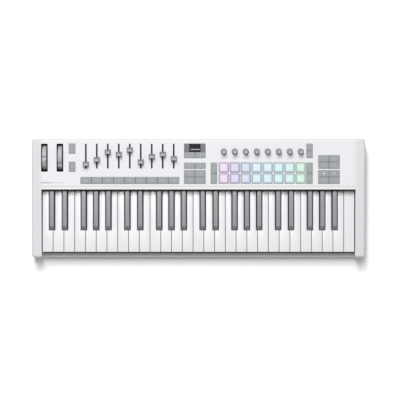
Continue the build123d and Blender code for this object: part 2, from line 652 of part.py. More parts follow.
# Wheel bracket: a base on the floor with a pair of drilled plates for each wheel.
WHEELS_X = sum(WHEEL_XS) / 2
BRACKET_X = (WHEEL_XS[0] - PLATE_HALVES[1], WHEEL_XS[1] + PLATE_HALVES[1])
BRACKET_SCREWS = [(WHEELS_X, y) for y in spread(AXLE.Y, BRACKET_SCREW_SPREAD)]
with BuildPart() as wheel_bracket:
    base_z = (FLOOR_Z, FLOOR_Z + BRACKET_BASE[1])
    block(BRACKET_X, spread(AXLE.Y, BRACKET_BASE[0] / 2), base_z)
    for x in WHEEL_XS:
        for near, far in (PLATE_HALVES, (-PLATE_HALVES[1], -PLATE_HALVES[0])):
            plate_z = (FLOOR_Z, AXLE.Z + PLATE_ABOVE_AXLE)
            block((x + near, x + far), spread(AXLE.Y, PLATE_HALF_LENGTH), plate_z)
    with BuildSketch(Plane.YZ):
        with Locations((AXLE.Y, AXLE.Z)):
            Circle(AXLE_RADIUS + AXLE_FIT)
    extrude(amount=BODY_WIDTH, both=True, mode=Mode.SUBTRACT)
    screw_bosses(BRACKET_SCREWS)
save(wheel_bracket, "wheel_bracket")


# ---- On the board ---------------------------------------------------------------------------------

# Posts stand in the free places between the controls.
DISPLAY_SIDES = spread(DISPLAY_X, BLOCK_WIDTH / 2)
LEFT_GAP_X = (OCTAVE_X + OCTAVE_BUTTON[0] / 2 + FADER_BUTTONS_X - FADER_BUTTONS_WIDTH / 2) / 2
RIGHT_GAP_X = (RIGHT_COLUMN_X + NARROW_WIDTH / 2 + TRANSPORT_X - BLOCK_WIDTH / 2) / 2
BEFORE_DISPLAY_X = (FADER_XS[-1] + FADER_HOUSING[0] / 2 + DISPLAY_SIDES[0]) / 2
AFTER_DISPLAY_X = (DISPLAY_SIDES[1] + LEFT_COLUMN_X - NARROW_WIDTH / 2) / 2
BETWEEN_FADERS_X = (FADER_XS[3] + FADER_XS[4]) / 2
BETWEEN_KNOBS_X = (KNOB_XS[3] + KNOB_XS[4]) / 2
ABOVE_PADS = (KNOB_BACK + ENCODER_SIZE / 2 + PAD_BACKS[0] - PAD_SIZE / 2) / 2
OVER_LOWER_BLOCK = (TRACK_BACKS[1] + TRACK_BACKS[0]) / 2
BOARD_POSTS = [
    (LEFT_GAP_X, KNOB_BACK),
    (LEFT_GAP_X, PAD_BACKS[1]),
    (BETWEEN_FADERS_X, FADER_BACK),
    (BEFORE_DISPLAY_X, KNOB_BACK),
    (BEFORE_DISPLAY_X, PAD_BACKS[0]),
    (AFTER_DISPLAY_X, OVER_LOWER_BLOCK),
    (AFTER_DISPLAY_X, KNOB_BACK),
    (BETWEEN_KNOBS_X, ABOVE_PADS),
    (RIGHT_GAP_X, ABOVE_PADS),
    (TRANSPORT_X, MIDDLE_BACKS[0] / 2),
]
POST_PLACES = [(x, -back) for x, back in BOARD_POSTS]
POST_HOLE_DEPTH = SCREW_LENGTH - BOARD_THICKNESS + SCREW_TIP_GAP

# Panel board: a printed board under every control, with switches and pressure sensors on it.
with BuildPart() as panel_board:
    with BuildSketch(PANEL.offset(-BOARD_DEPTH)):
        with Locations((sum(BOARD_X) / 2, -sum(BOARD_BACKS) / 2)):
            Rectangle(BOARD_X[1] - BOARD_X[0], BOARD_BACKS[1] - BOARD_BACKS[0])
        with Locations(*POST_PLACES):
            Circle(SCREW_RADIUS + POST_HOLE_FIT, mode=Mode.SUBTRACT)
    extrude(amount=-BOARD_THICKNESS)
    with BuildSketch(PANEL.offset(-BOARD_DEPTH)):
        with Locations(*ALL_BUTTON_MIDDLES):
            Rectangle(SWITCH[0], SWITCH[0])
    extrude(amount=SWITCH[1])
    with BuildSketch(PANEL.offset(-BOARD_DEPTH)):
        with Locations(*[(x, -back) for x in KNOB_XS for back in PAD_BACKS]):
            Rectangle(SENSOR[0], SENSOR[0])
    extrude(amount=SENSOR[1])
save(panel_board, "panel_board")

# Fader housings: long boxes on the board, slotted for the levers.
HOUSING_LENGTH = FADER_TRAVEL + FADER_HOUSING_SPARE
FADER_MIDDLES = [(x, -FADER_BACK) for x in FADER_XS]
with BuildPart() as fader_bodies:
    with BuildSketch(PANEL.offset(-BOARD_DEPTH)):
        with Locations(*FADER_MIDDLES):
            Rectangle(FADER_HOUSING[0], HOUSING_LENGTH)
    extrude(amount=FADER_HOUSING[1])
    with BuildSketch(PANEL.offset(-BOARD_DEPTH + FADER_HOUSING[1])):
        with Locations(*FADER_MIDDLES):
            Rectangle(LEVER[0] + 2 * LEVER_GAP, FADER_TRAVEL + LEVER[1] + 2 * LEVER_GAP)
    extrude(amount=FADER_HOUSING_FLOOR - FADER_HOUSING[1], mode=Mode.SUBTRACT)
save(fader_bodies, "fader_bodies")

# Rotary encoders: a square body with a round bushing that comes up through the panel.
KNOB_MIDDLES = [(x, -KNOB_BACK) for x in KNOB_XS]
with BuildPart() as encoder_bodies:
    with BuildSketch(PANEL.offset(-BOARD_DEPTH)):
        with Locations(*KNOB_MIDDLES):
            Rectangle(ENCODER_SIZE, ENCODER_SIZE)
    extrude(amount=ENCODER_HEIGHT)
    with BuildSketch(PANEL.offset(-BOARD_DEPTH)):
        with Locations(*KNOB_MIDDLES):
            Circle(BUSHING_RADIUS)
    extrude(amount=BOARD_DEPTH - BUSHING_TOP)
    with BuildSketch(PANEL.offset(-SHAFT_END)):
        with Locations(*KNOB_MIDDLES):
            Circle(SHAFT_RADIUS + SHAFT_FIT)
    extrude(amount=SHAFT_END, mode=Mode.SUBTRACT)
save(encoder_bodies, "encoder_bodies")

# Display window: a clear plate flush with the panel, glued in by its side flanges.
DISPLAY_MIDDLE = (DISPLAY_X, -sum(DISPLAY_BACKS) / 2)
DISPLAY_HEIGHT = DISPLAY_BACKS[1] - DISPLAY_BACKS[0]
with BuildPart() as display_window:
    with BuildSketch(PANEL.offset(-WINDOW_SET_DOWN)):
        with Locations(DISPLAY_MIDDLE):
            RectangleRounded(BLOCK_WIDTH, DISPLAY_HEIGHT, BUTTON_CORNER)
    extrude(amount=WINDOW_SET_DOWN - WALL)
    with BuildSketch(PANEL.offset(-WALL)):
        with Locations(DISPLAY_MIDDLE):
            Rectangle(BLOCK_WIDTH + 2 * WINDOW_FLANGE[0], DISPLAY_HEIGHT - 2 * BUTTON_CORNER)
    extrude(amount=-WINDOW_FLANGE[1])
save(display_window, "display_window")

# Display module under the window.
MODULE_TOP = WALL + WINDOW_FLANGE[1] + MODULE_GAP
with BuildPart() as display_module:
    with BuildSketch(PANEL.offset(-BOARD_DEPTH)):
        with Locations(DISPLAY_MIDDLE):
            Rectangle(*MODULE_SIZE)
    extrude(amount=BOARD_DEPTH - MODULE_TOP)
save(display_module, "display_module")


# ---- Rear sockets ---------------------------------------------------------------------------------

SOCKET_FACE_Y = BACK_Y - NOSE_SET_BACK
SOCKET_BODY_Y = BACK_Y - WALL - NOSE_GAP
SOCKET_TOP = panel_z(SOCKET_BODY_Y - PEDAL_BODY[1]) - (BOARD_DEPTH + BOARD_THICKNESS) / cos(SLOPE)
USB_Z = SOCKET_TOP - USB_BASE_HEIGHT - USB_SHELL[1] / 2
PEDAL_Z = SOCKET_TOP - PEDAL_BODY[2] / 2
MIDI_Z = SOCKET_TOP - MIDI_BODY[2] / 2
REAR = Plane(origin=(0, SOCKET_FACE_Y, 0), x_dir=(-1, 0, 0), z_dir=(0, 1, 0))

# USB socket: a flattened metal shell with a tongue inside, on a base under the board.
with BuildPart() as usb_socket:
    with BuildSketch(REAR):
        with Locations((-USB_X, USB_Z)):
            SlotOverall(*USB_SHELL)
    extrude(amount=-USB_LENGTH)
    base_y = (SOCKET_FACE_Y - USB_LENGTH, SOCKET_BODY_Y)
    block(spread(USB_X, USB_SHELL[0] / 2), base_y, (USB_Z, SOCKET_TOP))
    with BuildSketch(REAR):
        with Locations((-USB_X, USB_Z)):
            SlotOverall(USB_SHELL[0] - 2 * USB_SHELL_WALL, USB_SHELL[1] - 2 * USB_SHELL_WALL)
    extrude(amount=-USB_MOUTH_DEPTH, mode=Mode.SUBTRACT)
    tongue_y = (SOCKET_FACE_Y - USB_MOUTH_DEPTH, SOCKET_FACE_Y - USB_MOUTH_DEPTH + USB_TONGUE[2])
    block(spread(USB_X, USB_TONGUE[0] / 2), tongue_y, spread(USB_Z, USB_TONGUE[1] / 2))
save(usb_socket, "usb_socket")

# Pedal socket: a quarter-inch jack.
with BuildPart() as pedal_socket:
    body_y = (SOCKET_BODY_Y - PEDAL_BODY[1], SOCKET_BODY_Y)
    block(spread(PEDAL_X, PEDAL_BODY[0] / 2), body_y, spread(PEDAL_Z, PEDAL_BODY[2] / 2))
    with BuildSketch(REAR):
        with Locations((-PEDAL_X, PEDAL_Z)):
            Circle(PEDAL_NOSE_RADIUS)
    extrude(amount=SOCKET_BODY_Y - SOCKET_FACE_Y)
    with BuildSketch(REAR):
        with Locations((-PEDAL_X, PEDAL_Z)):
            Circle(PEDAL_BORE_RADIUS)
    extrude(amount=-PEDAL_BORE_DEPTH, mode=Mode.SUBTRACT)
save(pedal_socket, "pedal_socket")

# MIDI socket: a round five-pin one, with a groove for the plug's shell.
with BuildPart() as midi_socket:
    body_y = (SOCKET_BODY_Y - MIDI_BODY[1], SOCKET_BODY_Y)
    block(spread(MIDI_X, MIDI_BODY[0] / 2), body_y, spread(MIDI_Z, MIDI_BODY[2] / 2))
    with BuildSketch(REAR):
        with Locations((-MIDI_X, MIDI_Z)):
            Circle(MIDI_NOSE_RADIUS)
    extrude(amount=SOCKET_BODY_Y - SOCKET_FACE_Y)
    with BuildSketch(REAR):
        with Locations((-MIDI_X, MIDI_Z)):
            Circle(MIDI_GROOVE[1])
            Circle(MIDI_GROOVE[0], mode=Mode.SUBTRACT)
            for pin in range(MIDI_PINS):
                with PolarLocations(MIDI_PIN_CIRCLE, 1, start_angle=pin * MIDI_PIN_STEP):
                    Circle(MIDI_PIN_RADIUS)
    extrude(amount=-MIDI_GROOVE_DEPTH, mode=Mode.SUBTRACT)
save(midi_socket, "midi_socket")


# ---- Case -----------------------------------------------------------------------------------------

CHEEK_X = OPENING_HALF + CHEEK_WIDTH / 2
CASE_SCREW_YS = (KEY_FRONT_Y, BLACK_FRONT_Y + BLACK_VISIBLE / 3, PIVOT_Y, BACK_Y - FOOT_INSET[1])
CASE_SCREWS = [(side * CHEEK_X, y) for side in (-1, 1) for y in CASE_SCREW_YS]
CASE_POST_RADIUS = SCREW_RADIUS + BOSS_WALL
PARALLEL = 0.999  # least cosine between the directions of faces that count as parallel

# Openings for the button blocks, each an X, a width, and its two distances from the back; the
# window and the row of buttons before it share one.
APERTURES = [b[:3] for blocks in BUTTON_BLOCKS.values() for b in blocks]
APERTURES.append((DISPLAY_X, BLOCK_WIDTH, (DISPLAY_BACKS[0], MENU_BACKS[1])))

# What is hollow under the top shell; the cheeks keep a wall beside the keys.
with BuildPart() as hollow:
    with BuildSketch(Plane.XY.offset(PARTING_Z)):
        RectangleRounded(BODY_WIDTH - 2 * WALL, BODY_DEPTH - 2 * WALL, CORNER_RADIUS - WALL)
        for side in (-1, 1):
            with Locations((side * (OPENING_HALF + WALL / 2), PANEL_FRONT_Y)):
                Rectangle(WALL, BODY_DEPTH, align=(Align.CENTER, Align.MAX), mode=Mode.SUBTRACT)
    extrude(amount=BACK_HEIGHT)
    split(bisect_by=PANEL.offset(-WALL), keep=Keep.BOTTOM)

# Posts that hang from the top shell: long ones to the floor, short ones to the board.
with BuildPart() as posts:
    with BuildSketch(Plane.XY.offset(FLOOR_Z)):
        with Locations(*CASE_SCREWS):
            Circle(CASE_POST_RADIUS)
    extrude(amount=BACK_HEIGHT)
    split(bisect_by=PANEL.offset(-WALL / 2), keep=Keep.BOTTOM)
    with BuildSketch(Plane.XY.offset(FLOOR_Z)):
        with Locations(*CASE_SCREWS):
            Circle(SCREW_RADIUS + SCREW_FIT)
    extrude(amount=SCREW_HOLE_DEPTH, mode=Mode.SUBTRACT)
    with BuildSketch(PANEL.offset(-BOARD_DEPTH)):
        with Locations(*POST_PLACES):
            Circle(POST_RADIUS)
    extrude(amount=BOARD_DEPTH - WALL / 2)
    with BuildSketch(PANEL.offset(-BOARD_DEPTH)):
        with Locations(*POST_PLACES):
            Circle(SCREW_RADIUS + SCREW_FIT)
    extrude(amount=POST_HOLE_DEPTH, mode=Mode.SUBTRACT)

# Top shell: panel, cheeks and back in one moulding.
with BuildPart() as top_case:
    with BuildSketch(Plane.XY.offset(PARTING_Z)):
        RectangleRounded(BODY_WIDTH, BODY_DEPTH, CORNER_RADIUS)
    extrude(amount=BACK_HEIGHT)
    split(bisect_by=PANEL, keep=Keep.BOTTOM)
    fillet(top_case.faces().sort_by(Axis.Z)[-1].edges(), EDGE_RADIUS)
    add(hollow.part, mode=Mode.SUBTRACT)
    block(spread(0, OPENING_HALF), (2 * FRONT_Y, PANEL_FRONT_Y), (0, 2 * BACK_HEIGHT), Mode.SUBTRACT)
    with BuildSketch(PANEL):
        for x, width, backs in APERTURES:
            size = (width + 2 * APERTURE_GAP, backs[1] - backs[0] + 2 * APERTURE_GAP)
            with Locations((x, -sum(backs) / 2)):
                RectangleRounded(*size, BUTTON_CORNER + APERTURE_GAP)
        with Locations(*[(x, -back) for x in KNOB_XS for back in PAD_BACKS]):
            pad_aperture = PAD_SIZE + 2 * APERTURE_GAP
            RectangleRounded(pad_aperture, pad_aperture, PAD_CORNER + APERTURE_GAP)
        with Locations(*FADER_MIDDLES):
            SlotOverall(FADER_TRAVEL + FADER_SLOT[1], FADER_SLOT[0], rotation=90)
        with Locations(*KNOB_MIDDLES):
            Circle(BUSHING_RADIUS + BUSHING_GAP)
        with Locations(*[(x, -WHEEL_BACK) for x in WHEEL_XS]):
            RectangleRounded(*WHEEL_SLOT, WHEEL_SLOT_CORNER)
    extrude(amount=-2 * WALL, mode=Mode.SUBTRACT)
    surface = top_case.faces().filter_by(lambda face: face.normal_at().dot(PANEL.z_dir) > PARALLEL)
    openings = surface.sort_by(SortBy.AREA)[-1].inner_wires()
    chamfer([edge for wire in openings for edge in wire.edges()], APERTURE_CHAMFER)
    with BuildSketch(REAR.offset(NOSE_SET_BACK)):
        with Locations((-USB_X, USB_Z)):
            SlotOverall(USB_SHELL[0] + 2 * NOSE_GAP, USB_SHELL[1] + 2 * NOSE_GAP)
        with Locations((-PEDAL_X, PEDAL_Z)):
            Circle(PEDAL_NOSE_RADIUS + NOSE_GAP)
        with Locations((-MIDI_X, MIDI_Z)):
            Circle(MIDI_NOSE_RADIUS + NOSE_GAP)
        with Locations((-LOCK_X, LOCK_Z)):
            RectangleRounded(*LOCK_SLOT, LOCK_SLOT[1] / 3)
    extrude(amount=-2 * WALL, mode=Mode.SUBTRACT)
    add(posts.part)
save(top_case, "top_case")

# Bottom shell: a tray with a rail in front of the keys.
FOOT_PLACES = [
    (x, y)
    for x in (-BODY_WIDTH / 2 + FOOT_INSET[0], 0, BODY_WIDTH / 2 - FOOT_INSET[0])
    for y in spread(0, BODY_DEPTH / 2 - FOOT_INSET[1])
]
FLOOR_SCREWS = CASE_SCREWS + CHASSIS_SCREWS + BRACKET_SCREWS
with BuildPart() as bottom_case:
    with BuildSketch(Plane.XY.offset(FOOT_HEIGHT)):
        RectangleRounded(BODY_WIDTH, BODY_DEPTH, CORNER_RADIUS)
    extrude(amount=PARTING_Z - FOOT_HEIGHT)
    fillet(bottom_case.faces().sort_by(Axis.Z)[0].edges(), BASE_EDGE_RADIUS)
    with BuildSketch(Plane.XY.offset(FLOOR_Z)):
        RectangleRounded(BODY_WIDTH - 2 * WALL, BODY_DEPTH - 2 * WALL, CORNER_RADIUS - WALL)
    extrude(amount=PARTING_Z, mode=Mode.SUBTRACT)
    rail_half = OPENING_HALF - RAIL_END_GAP
    block(spread(0, rail_half), (FRONT_Y, FRONT_Y + RAIL_DEPTH), (RAIL_TOP - WALL, RAIL_TOP))
    rail_edge = bottom_case.edges().filter_by(Axis.X).group_by(Axis.Z)[-1].sort_by(Axis.Y)[0]
    fillet(rail_edge, RAIL_RADIUS)
    with Locations(*[(x, y, FOOT_HEIGHT) for x, y in FOOT_PLACES]):
        Cylinder(FOOT_RADIUS, 2 * FOOT_RECESS, mode=Mode.SUBTRACT)
    with Locations(*[(x, y, FOOT_HEIGHT) for x, y in FLOOR_SCREWS]):
        Cylinder(SCREW_RADIUS + POST_HOLE_FIT, 3 * WALL, mode=Mode.SUBTRACT)
save(bottom_case, "bottom_case")

# Rubber feet, set into the underside.
with BuildPart() as rubber_feet:
    with Locations(*[(x, y, 0) for x, y in FOOT_PLACES]):
        foot_height = FOOT_HEIGHT + FOOT_RECESS
        Cylinder(FOOT_RADIUS, foot_height, align=(Align.CENTER, Align.CENTER, Align.MIN))
    fillet(rubber_feet.edges().group_by(Axis.Z)[0], FOOT_RECESS)
save(rubber_feet, "rubber_feet")

# Screws: one kind throughout, from below into the floor posts and up through the board.
with BuildPart() as case_screws:
    with BuildSketch(Plane.XY.offset(FOOT_HEIGHT)):
        with Locations(*FLOOR_SCREWS):
            Circle(SCREW_RADIUS)
    extrude(amount=SCREW_LENGTH)
    with BuildSketch(Plane.XY.offset(FOOT_HEIGHT)):
        with Locations(*FLOOR_SCREWS):
            Circle(SCREW_HEAD[0])
    extrude(amount=-SCREW_HEAD[1])
    with BuildSketch(PANEL.offset(-BOARD_DEPTH - BOARD_THICKNESS)):
        with Locations(*POST_PLACES):
            Circle(SCREW_RADIUS)
    extrude(amount=SCREW_LENGTH)
    with BuildSketch(PANEL.offset(-BOARD_DEPTH - BOARD_THICKNESS)):
        with Locations(*POST_PLACES):
            Circle(SCREW_HEAD[0])
    extrude(amount=-SCREW_HEAD[1])
save(case_screws, "case_screws")
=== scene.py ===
"""The looks of a 49-key MIDI controller keyboard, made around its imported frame. Sizes are in metres."""

import json
import math

import bmesh
import bpy
import numpy as np
from mathutils import Matrix, Vector

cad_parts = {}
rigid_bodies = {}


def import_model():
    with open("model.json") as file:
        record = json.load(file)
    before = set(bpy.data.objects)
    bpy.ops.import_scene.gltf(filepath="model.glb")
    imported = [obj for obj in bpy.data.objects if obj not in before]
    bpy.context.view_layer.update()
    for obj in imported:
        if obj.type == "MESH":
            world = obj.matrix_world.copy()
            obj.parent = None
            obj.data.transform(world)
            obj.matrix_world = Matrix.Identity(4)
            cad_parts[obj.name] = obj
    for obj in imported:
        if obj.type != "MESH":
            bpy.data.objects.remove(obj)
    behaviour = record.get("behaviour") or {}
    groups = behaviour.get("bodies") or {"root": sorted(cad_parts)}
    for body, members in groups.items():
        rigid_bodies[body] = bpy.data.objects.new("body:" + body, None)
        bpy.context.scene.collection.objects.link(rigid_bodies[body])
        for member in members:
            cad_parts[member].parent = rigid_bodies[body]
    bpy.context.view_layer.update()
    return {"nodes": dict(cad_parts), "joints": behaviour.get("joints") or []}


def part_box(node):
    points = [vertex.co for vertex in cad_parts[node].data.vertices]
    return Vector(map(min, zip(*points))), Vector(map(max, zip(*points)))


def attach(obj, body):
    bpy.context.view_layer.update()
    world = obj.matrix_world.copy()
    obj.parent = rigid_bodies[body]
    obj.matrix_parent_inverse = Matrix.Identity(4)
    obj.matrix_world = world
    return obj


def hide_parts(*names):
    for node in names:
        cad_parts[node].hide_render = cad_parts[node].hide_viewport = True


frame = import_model()


# ---- Stage ----------------------------------------------------------------------------------------
# A pale floor under plain soft light. One large lamp stands high behind the bass end, and the
# camera looks straight down from far away through a long lens.

KEY_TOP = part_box("keys_c")[1].z
VIEW_WIDTH = 0.8734
LENS = 180.0
SENSOR = 36.0
VIEW_CENTRE = Vector((0.0034, -0.0043))
FLOOR_HALF = 6.0
LAMP_DISTANCE = 5.0
LAMPS = {
    "key_lamp": {"towards": (-0.10, 0.36, 1.0), "size": (0.8, 2.4), "power": 142.0},
    "rear_softbox": {"towards": (-0.10, 0.75, 1.0), "size": (2.6, 1.2), "power": 126.0},
}
SKY_STRENGTH = 0.38

scene = bpy.context.scene
scene.view_settings.view_transform = "Standard"
scene.view_settings.look = "None"

camera = bpy.data.objects.new("camera", bpy.data.cameras.new("camera"))
camera.data.lens = LENS
camera.data.sensor_width = SENSOR
camera.data.clip_end = 50.0
camera.location = (*VIEW_CENTRE, KEY_TOP + VIEW_WIDTH * LENS / SENSOR)
scene.collection.objects.link(camera)
scene.camera = camera

for name, sizes in LAMPS.items():
    towards = Vector(sizes["towards"]).normalized()
    lamp = bpy.data.objects.new(name, bpy.data.lights.new(name, "AREA"))
    lamp.data.shape = "RECTANGLE"
    lamp.data.size, lamp.data.size_y = sizes["size"]
    lamp.data.energy = sizes["power"]
    lamp.location = towards * LAMP_DISTANCE
    lamp.rotation_mode = "QUATERNION"
    lamp.rotation_quaternion = towards.to_track_quat("Z", "Y")
    scene.collection.objects.link(lamp)

scene.world = bpy.data.worlds.new("sky")
scene.world.use_nodes = True
sky = scene.world.node_tree.nodes["Background"]
sky.inputs["Color"].default_value = (1.0, 1.0, 1.0, 1.0)
sky.inputs["Strength"].default_value = SKY_STRENGTH


class Wire:
    """An output of a node, for use in sums: each operator adds the Math node that it names."""

    def __init__(self, nodes, socket):
        self.nodes = nodes
        self.socket = socket

    def _sum(self, operation, first, second):
        return self.nodes.node("ShaderNodeMath", {"operation": operation}, {0: first, 1: second})

    def __add__(self, other):
        return self._sum("ADD", self, other)

    def __radd__(self, other):
        return self._sum("ADD", other, self)

    def __sub__(self, other):
        return self._sum("SUBTRACT", self, other)

    def __rsub__(self, other):
        return self._sum("SUBTRACT", other, self)

    def __mul__(self, other):
        return self._sum("MULTIPLY", self, other)

    def __rmul__(self, other):
        return self._sum("MULTIPLY", other, self)

    def __truediv__(self, other):
        return self._sum("DIVIDE", self, other)

    def __gt__(self, other):
        return self._sum("GREATER_THAN", self, other)

    def __lt__(self, other):
        return self._sum("LESS_THAN", self, other)

    def __abs__(self):
        return self._sum("ABSOLUTE", self, 0.0)


class Nodes:
    """A node tree. Every node is added by node(), from its kind, its settings and its inputs."""

    def __init__(self, tree):
        self.tree = tree

    def node(self, kind, settings=None, inputs=None, output=0):
        added = self.tree.nodes.new(kind)
        for name, value in (settings or {}).items():
            if name == "stops":
                ramp = added.color_ramp
                while len(ramp.elements) < len(value):
                    ramp.elements.new(1.0)
                for element, (place, colour) in zip(ramp.elements, value):
                    element.position = place
                    element.color = colour
            elif name == "interpolation":
                added.color_ramp.interpolation = value
            else:
                setattr(added, name, value)
        for name, value in (inputs or {}).items():
            if isinstance(value, Wire):
                self.tree.links.new(value.socket, added.inputs[name])
            else:
                added.inputs[name].default_value = value
        return Wire(self, added.outputs[output])


def shade(red, green, blue):
    """A colour from its display values, 0 to 255, as the light that it reflects."""
    linear = [
        v / 255 / 12.92 if v / 255 <= 0.04045 else ((v / 255 + 0.055) / 1.055) ** 2.4
        for v in (red, green, blue)
    ]
    return (*linear, 1.0)


class Finish(Nodes):
    """A procedural material around one Principled shader, with what is even set on its sockets."""

    def __init__(self, name, **even):
        self.material = bpy.data.materials.new(name)
        self.material.use_nodes = True
        super().__init__(self.material.node_tree)
        self.shader = self.tree.nodes["Principled BSDF"]
        for socket, value in even.items():
            self.shader.inputs[socket.replace("_", " ")].default_value = value
        self.place = self.node("ShaderNodeTexCoord", output=3)
        self.x, self.y, self.z = (
            self.node("ShaderNodeSeparateXYZ", {}, {"Vector": self.place}, axis) for axis in range(3)
        )

    def speckle(self, size, detail=3.0, roughness=0.55):
        """Even noise with grains of the size given."""
        settings = {"noise_dimensions": "3D"}
        inputs = {"Vector": self.place, "Scale": 1 / size, "Detail": detail, "Roughness": roughness}
        return self.node("ShaderNodeTexNoise", settings, inputs)

    def between(self, mask, first, second):
        """The first colour where the mask is 0 and the second where it is 1."""
        inputs = {"Factor": mask, 6: first, 7: second}
        return self.node("ShaderNodeMix", {"data_type": "RGBA"}, inputs, 2)

    def times(self, first, second):
        """One colour multiplied by another."""
        settings = {"data_type": "RGBA", "blend_type": "MULTIPLY"}
        return self.node("ShaderNodeMix", settings, {"Factor": 1.0, 6: first, 7: second}, 2)

    def ramp(self, value, low, high):
        """Rises smoothly from 0 at the low value to 1 at the high one."""
        inputs = {"Value": value, "From Min": low, "From Max": high}
        return self.node("ShaderNodeMapRange", {"interpolation_type": "SMOOTHSTEP"}, inputs)

    def drive(self, socket, wire):
        self.tree.links.new(wire.socket, self.shader.inputs[socket])

    def bump(self, height, depth):
        """Raises the surface by the height, 0 to 1, times the depth."""
        inputs = {"Height": height, "Distance": depth, "Strength": 1.0}
        self.drive("Normal", self.node("ShaderNodeBump", {}, inputs))


floor_finish = Finish("pale_floor", Roughness=0.9)
floor_finish.drive(
    "Base Color",
    floor_finish.between(floor_finish.speckle(0.4), shade(249, 249, 249), shade(251, 251, 251)),
)
floor_mesh = bpy.data.meshes.new("floor")
floor_corners = [(x * FLOOR_HALF, y * FLOOR_HALF, 0) for x, y in ((-1, -1), (1, -1), (1, 1), (-1, 1))]
floor_mesh.from_pydata(floor_corners, [], [(0, 1, 2, 3)])
floor_mesh.materials.append(floor_finish.material)
floor = bpy.data.objects.new("floor", floor_mesh)
scene.collection.objects.link(floor)


# ---- Case -----------------------------------------------------------------------------------------
# Two ABS mouldings with a spark-eroded matt grain: a white shell with the panel and cheeks, creased
# along its front, over a mid-grey tray. Painted shade darkens the cheeks, the rounded back edge and
# the crease line. A painted highlight lightens the panel in front of the crease and the tray's front
# lip, and the inside of the tray is painted black as shade between the keys and the rail. Both keep
# the frame's own meshes.

DRIFT = 0.09


def grained(finish, grain, depth, rough, spread=0.06, cut=None):
    """A fine grain in a finish's surface and gloss, less what is cut in, counted in grains."""
    fine = finish.speckle(grain, 2.0)
    finish.drive("Roughness", fine * spread + (rough - spread / 2))
    finish.bump(fine if cut is None else fine - cut, depth)


def moulded(name, base, tone, grain, depth, rough, spread=0.06):
    """Moulded plastic: a fine grain in the surface and a faint drift in its colour and gloss."""
    finish = Finish(name)
    finish.drive("Base Color", finish.between(finish.speckle(DRIFT, 2.0), base, tone))
    grained(finish, grain, depth, rough, spread)
    return finish


def dress(node, material):
    """Gives a CAD node's own mesh a finish."""
    mesh = frame["nodes"][node].data
    mesh.materials.clear()
    mesh.materials.append(material)


CHEEK_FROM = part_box("key_stop_felts")[1].x
CHEEK_BLEND = 0.006
BACK_ROUND = (0.005, 0.001)
CREASE_Y = 0.0252
CREASE_HALF = 0.0003
CREASE_GRAINS = 12.0
CASE_GRAIN = 0.0005
CASE_WALL = 0.0025
KEYS_TO_RAIL = 0.0023
LIP_HIGHLIGHT_BAND = (0.0022, 0.0032)

white_shell = Finish("white_shell")
# Painted shade: the cheeks get a darker colour for the shade that falls on them.
cheek_shade_mask = white_shell.ramp(abs(white_shell.x), CHEEK_FROM - CHEEK_BLEND, CHEEK_FROM + CHEEK_BLEND)
back_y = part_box("top_case")[1].y
# Painted shade: the rounded back edge gets a darker colour to hold down the light on it.
back_edge_shade_mask = white_shell.ramp(white_shell.y, back_y - BACK_ROUND[0], back_y - BACK_ROUND[1])
on_panel = abs(white_shell.x) < CHEEK_FROM
# The crease is cut into the bump as a groove; its dark line is painted shade.
crease_groove_and_shade = (abs(white_shell.y - CREASE_Y) < CREASE_HALF) * on_panel
# Painted highlight: the panel in front of the crease is a little lighter.
front_strip_highlight = (white_shell.y < CREASE_Y) * on_panel
white_tone = white_shell.speckle(DRIFT, 2.0)
white_tone = white_shell.between(white_tone, shade(210, 210, 213), shade(212, 212, 215))
white_tone = white_shell.between(front_strip_highlight, white_tone, shade(213, 213, 216))
white_tone = white_shell.between(cheek_shade_mask, white_tone, shade(199, 199, 202))
white_tone = white_shell.between(back_edge_shade_mask, white_tone, shade(188, 188, 191))
white_shell.drive("Base Color", white_shell.between(crease_groove_and_shade, white_tone, shade(178, 178, 181)))
grained(white_shell, CASE_GRAIN, 0.00002, 0.52, cut=crease_groove_and_shade * CREASE_GRAINS)

grey_shell = Finish("grey_shell")
tray_low, tray_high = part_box("bottom_case")
# Painted shade: the inside of the tray, seen in the gap between the keys and the rail, is black.
tray_shade_mask = (grey_shell.z > tray_low.z + CASE_WALL / 2) * (abs(grey_shell.x) < tray_high.x - CASE_WALL / 2)
tray_shade_mask = tray_shade_mask * (grey_shell.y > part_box("keys_c")[0].y - KEYS_TO_RAIL)
tray_shade_mask = tray_shade_mask * (grey_shell.y < tray_high.y - CASE_WALL / 2)
grey_tone = grey_shell.speckle(DRIFT, 2.0)
grey_tone = grey_shell.between(grey_tone, shade(168, 168, 170), shade(172, 172, 174))
# Painted highlight: a paler band along the tray's front lip where its edge catches the light.
off_lip_highlight = grey_shell.ramp(grey_shell.y, tray_low.y + LIP_HIGHLIGHT_BAND[0], tray_low.y + LIP_HIGHLIGHT_BAND[1])
grey_tone = grey_shell.between(off_lip_highlight, shade(198, 198, 200), grey_tone)
grey_shell.drive("Base Color", grey_shell.between(tray_shade_mask, grey_tone, shade(10, 10, 11)))
grained(grey_shell, CASE_GRAIN, 0.00003, 0.55)

dress("top_case", white_shell.material)
dress("bottom_case", grey_shell.material)


# ---- White keys -----------------------------------------------------------------------------------
# Injection-moulded in white gloss plastic, each with a square-cut front lip and softly rounded top
# edges, and cut back along its tail for the black keys. Their sides carry painted shade that darkens
# downwards between the keys. Each note name is one piece.

KEY_EDGE = 0.0008
EDGE_STEPS = 4
LIP_DEPTH = 0.0025
SIDE_SHADE = (0.0006, 0.0032)
SIDE_FACING = 0.95
SHARP_FROM = math.radians(35.0)
SAME_POINT = 1e-6
SAME_PLACE = 1e-5
SMALLEST_STEP = 1e-4
SHOULDER_FROM = 1e-3
KEY_RIPPLE = 0.0012
KEY_RIPPLE_DEPTH = 0.000004


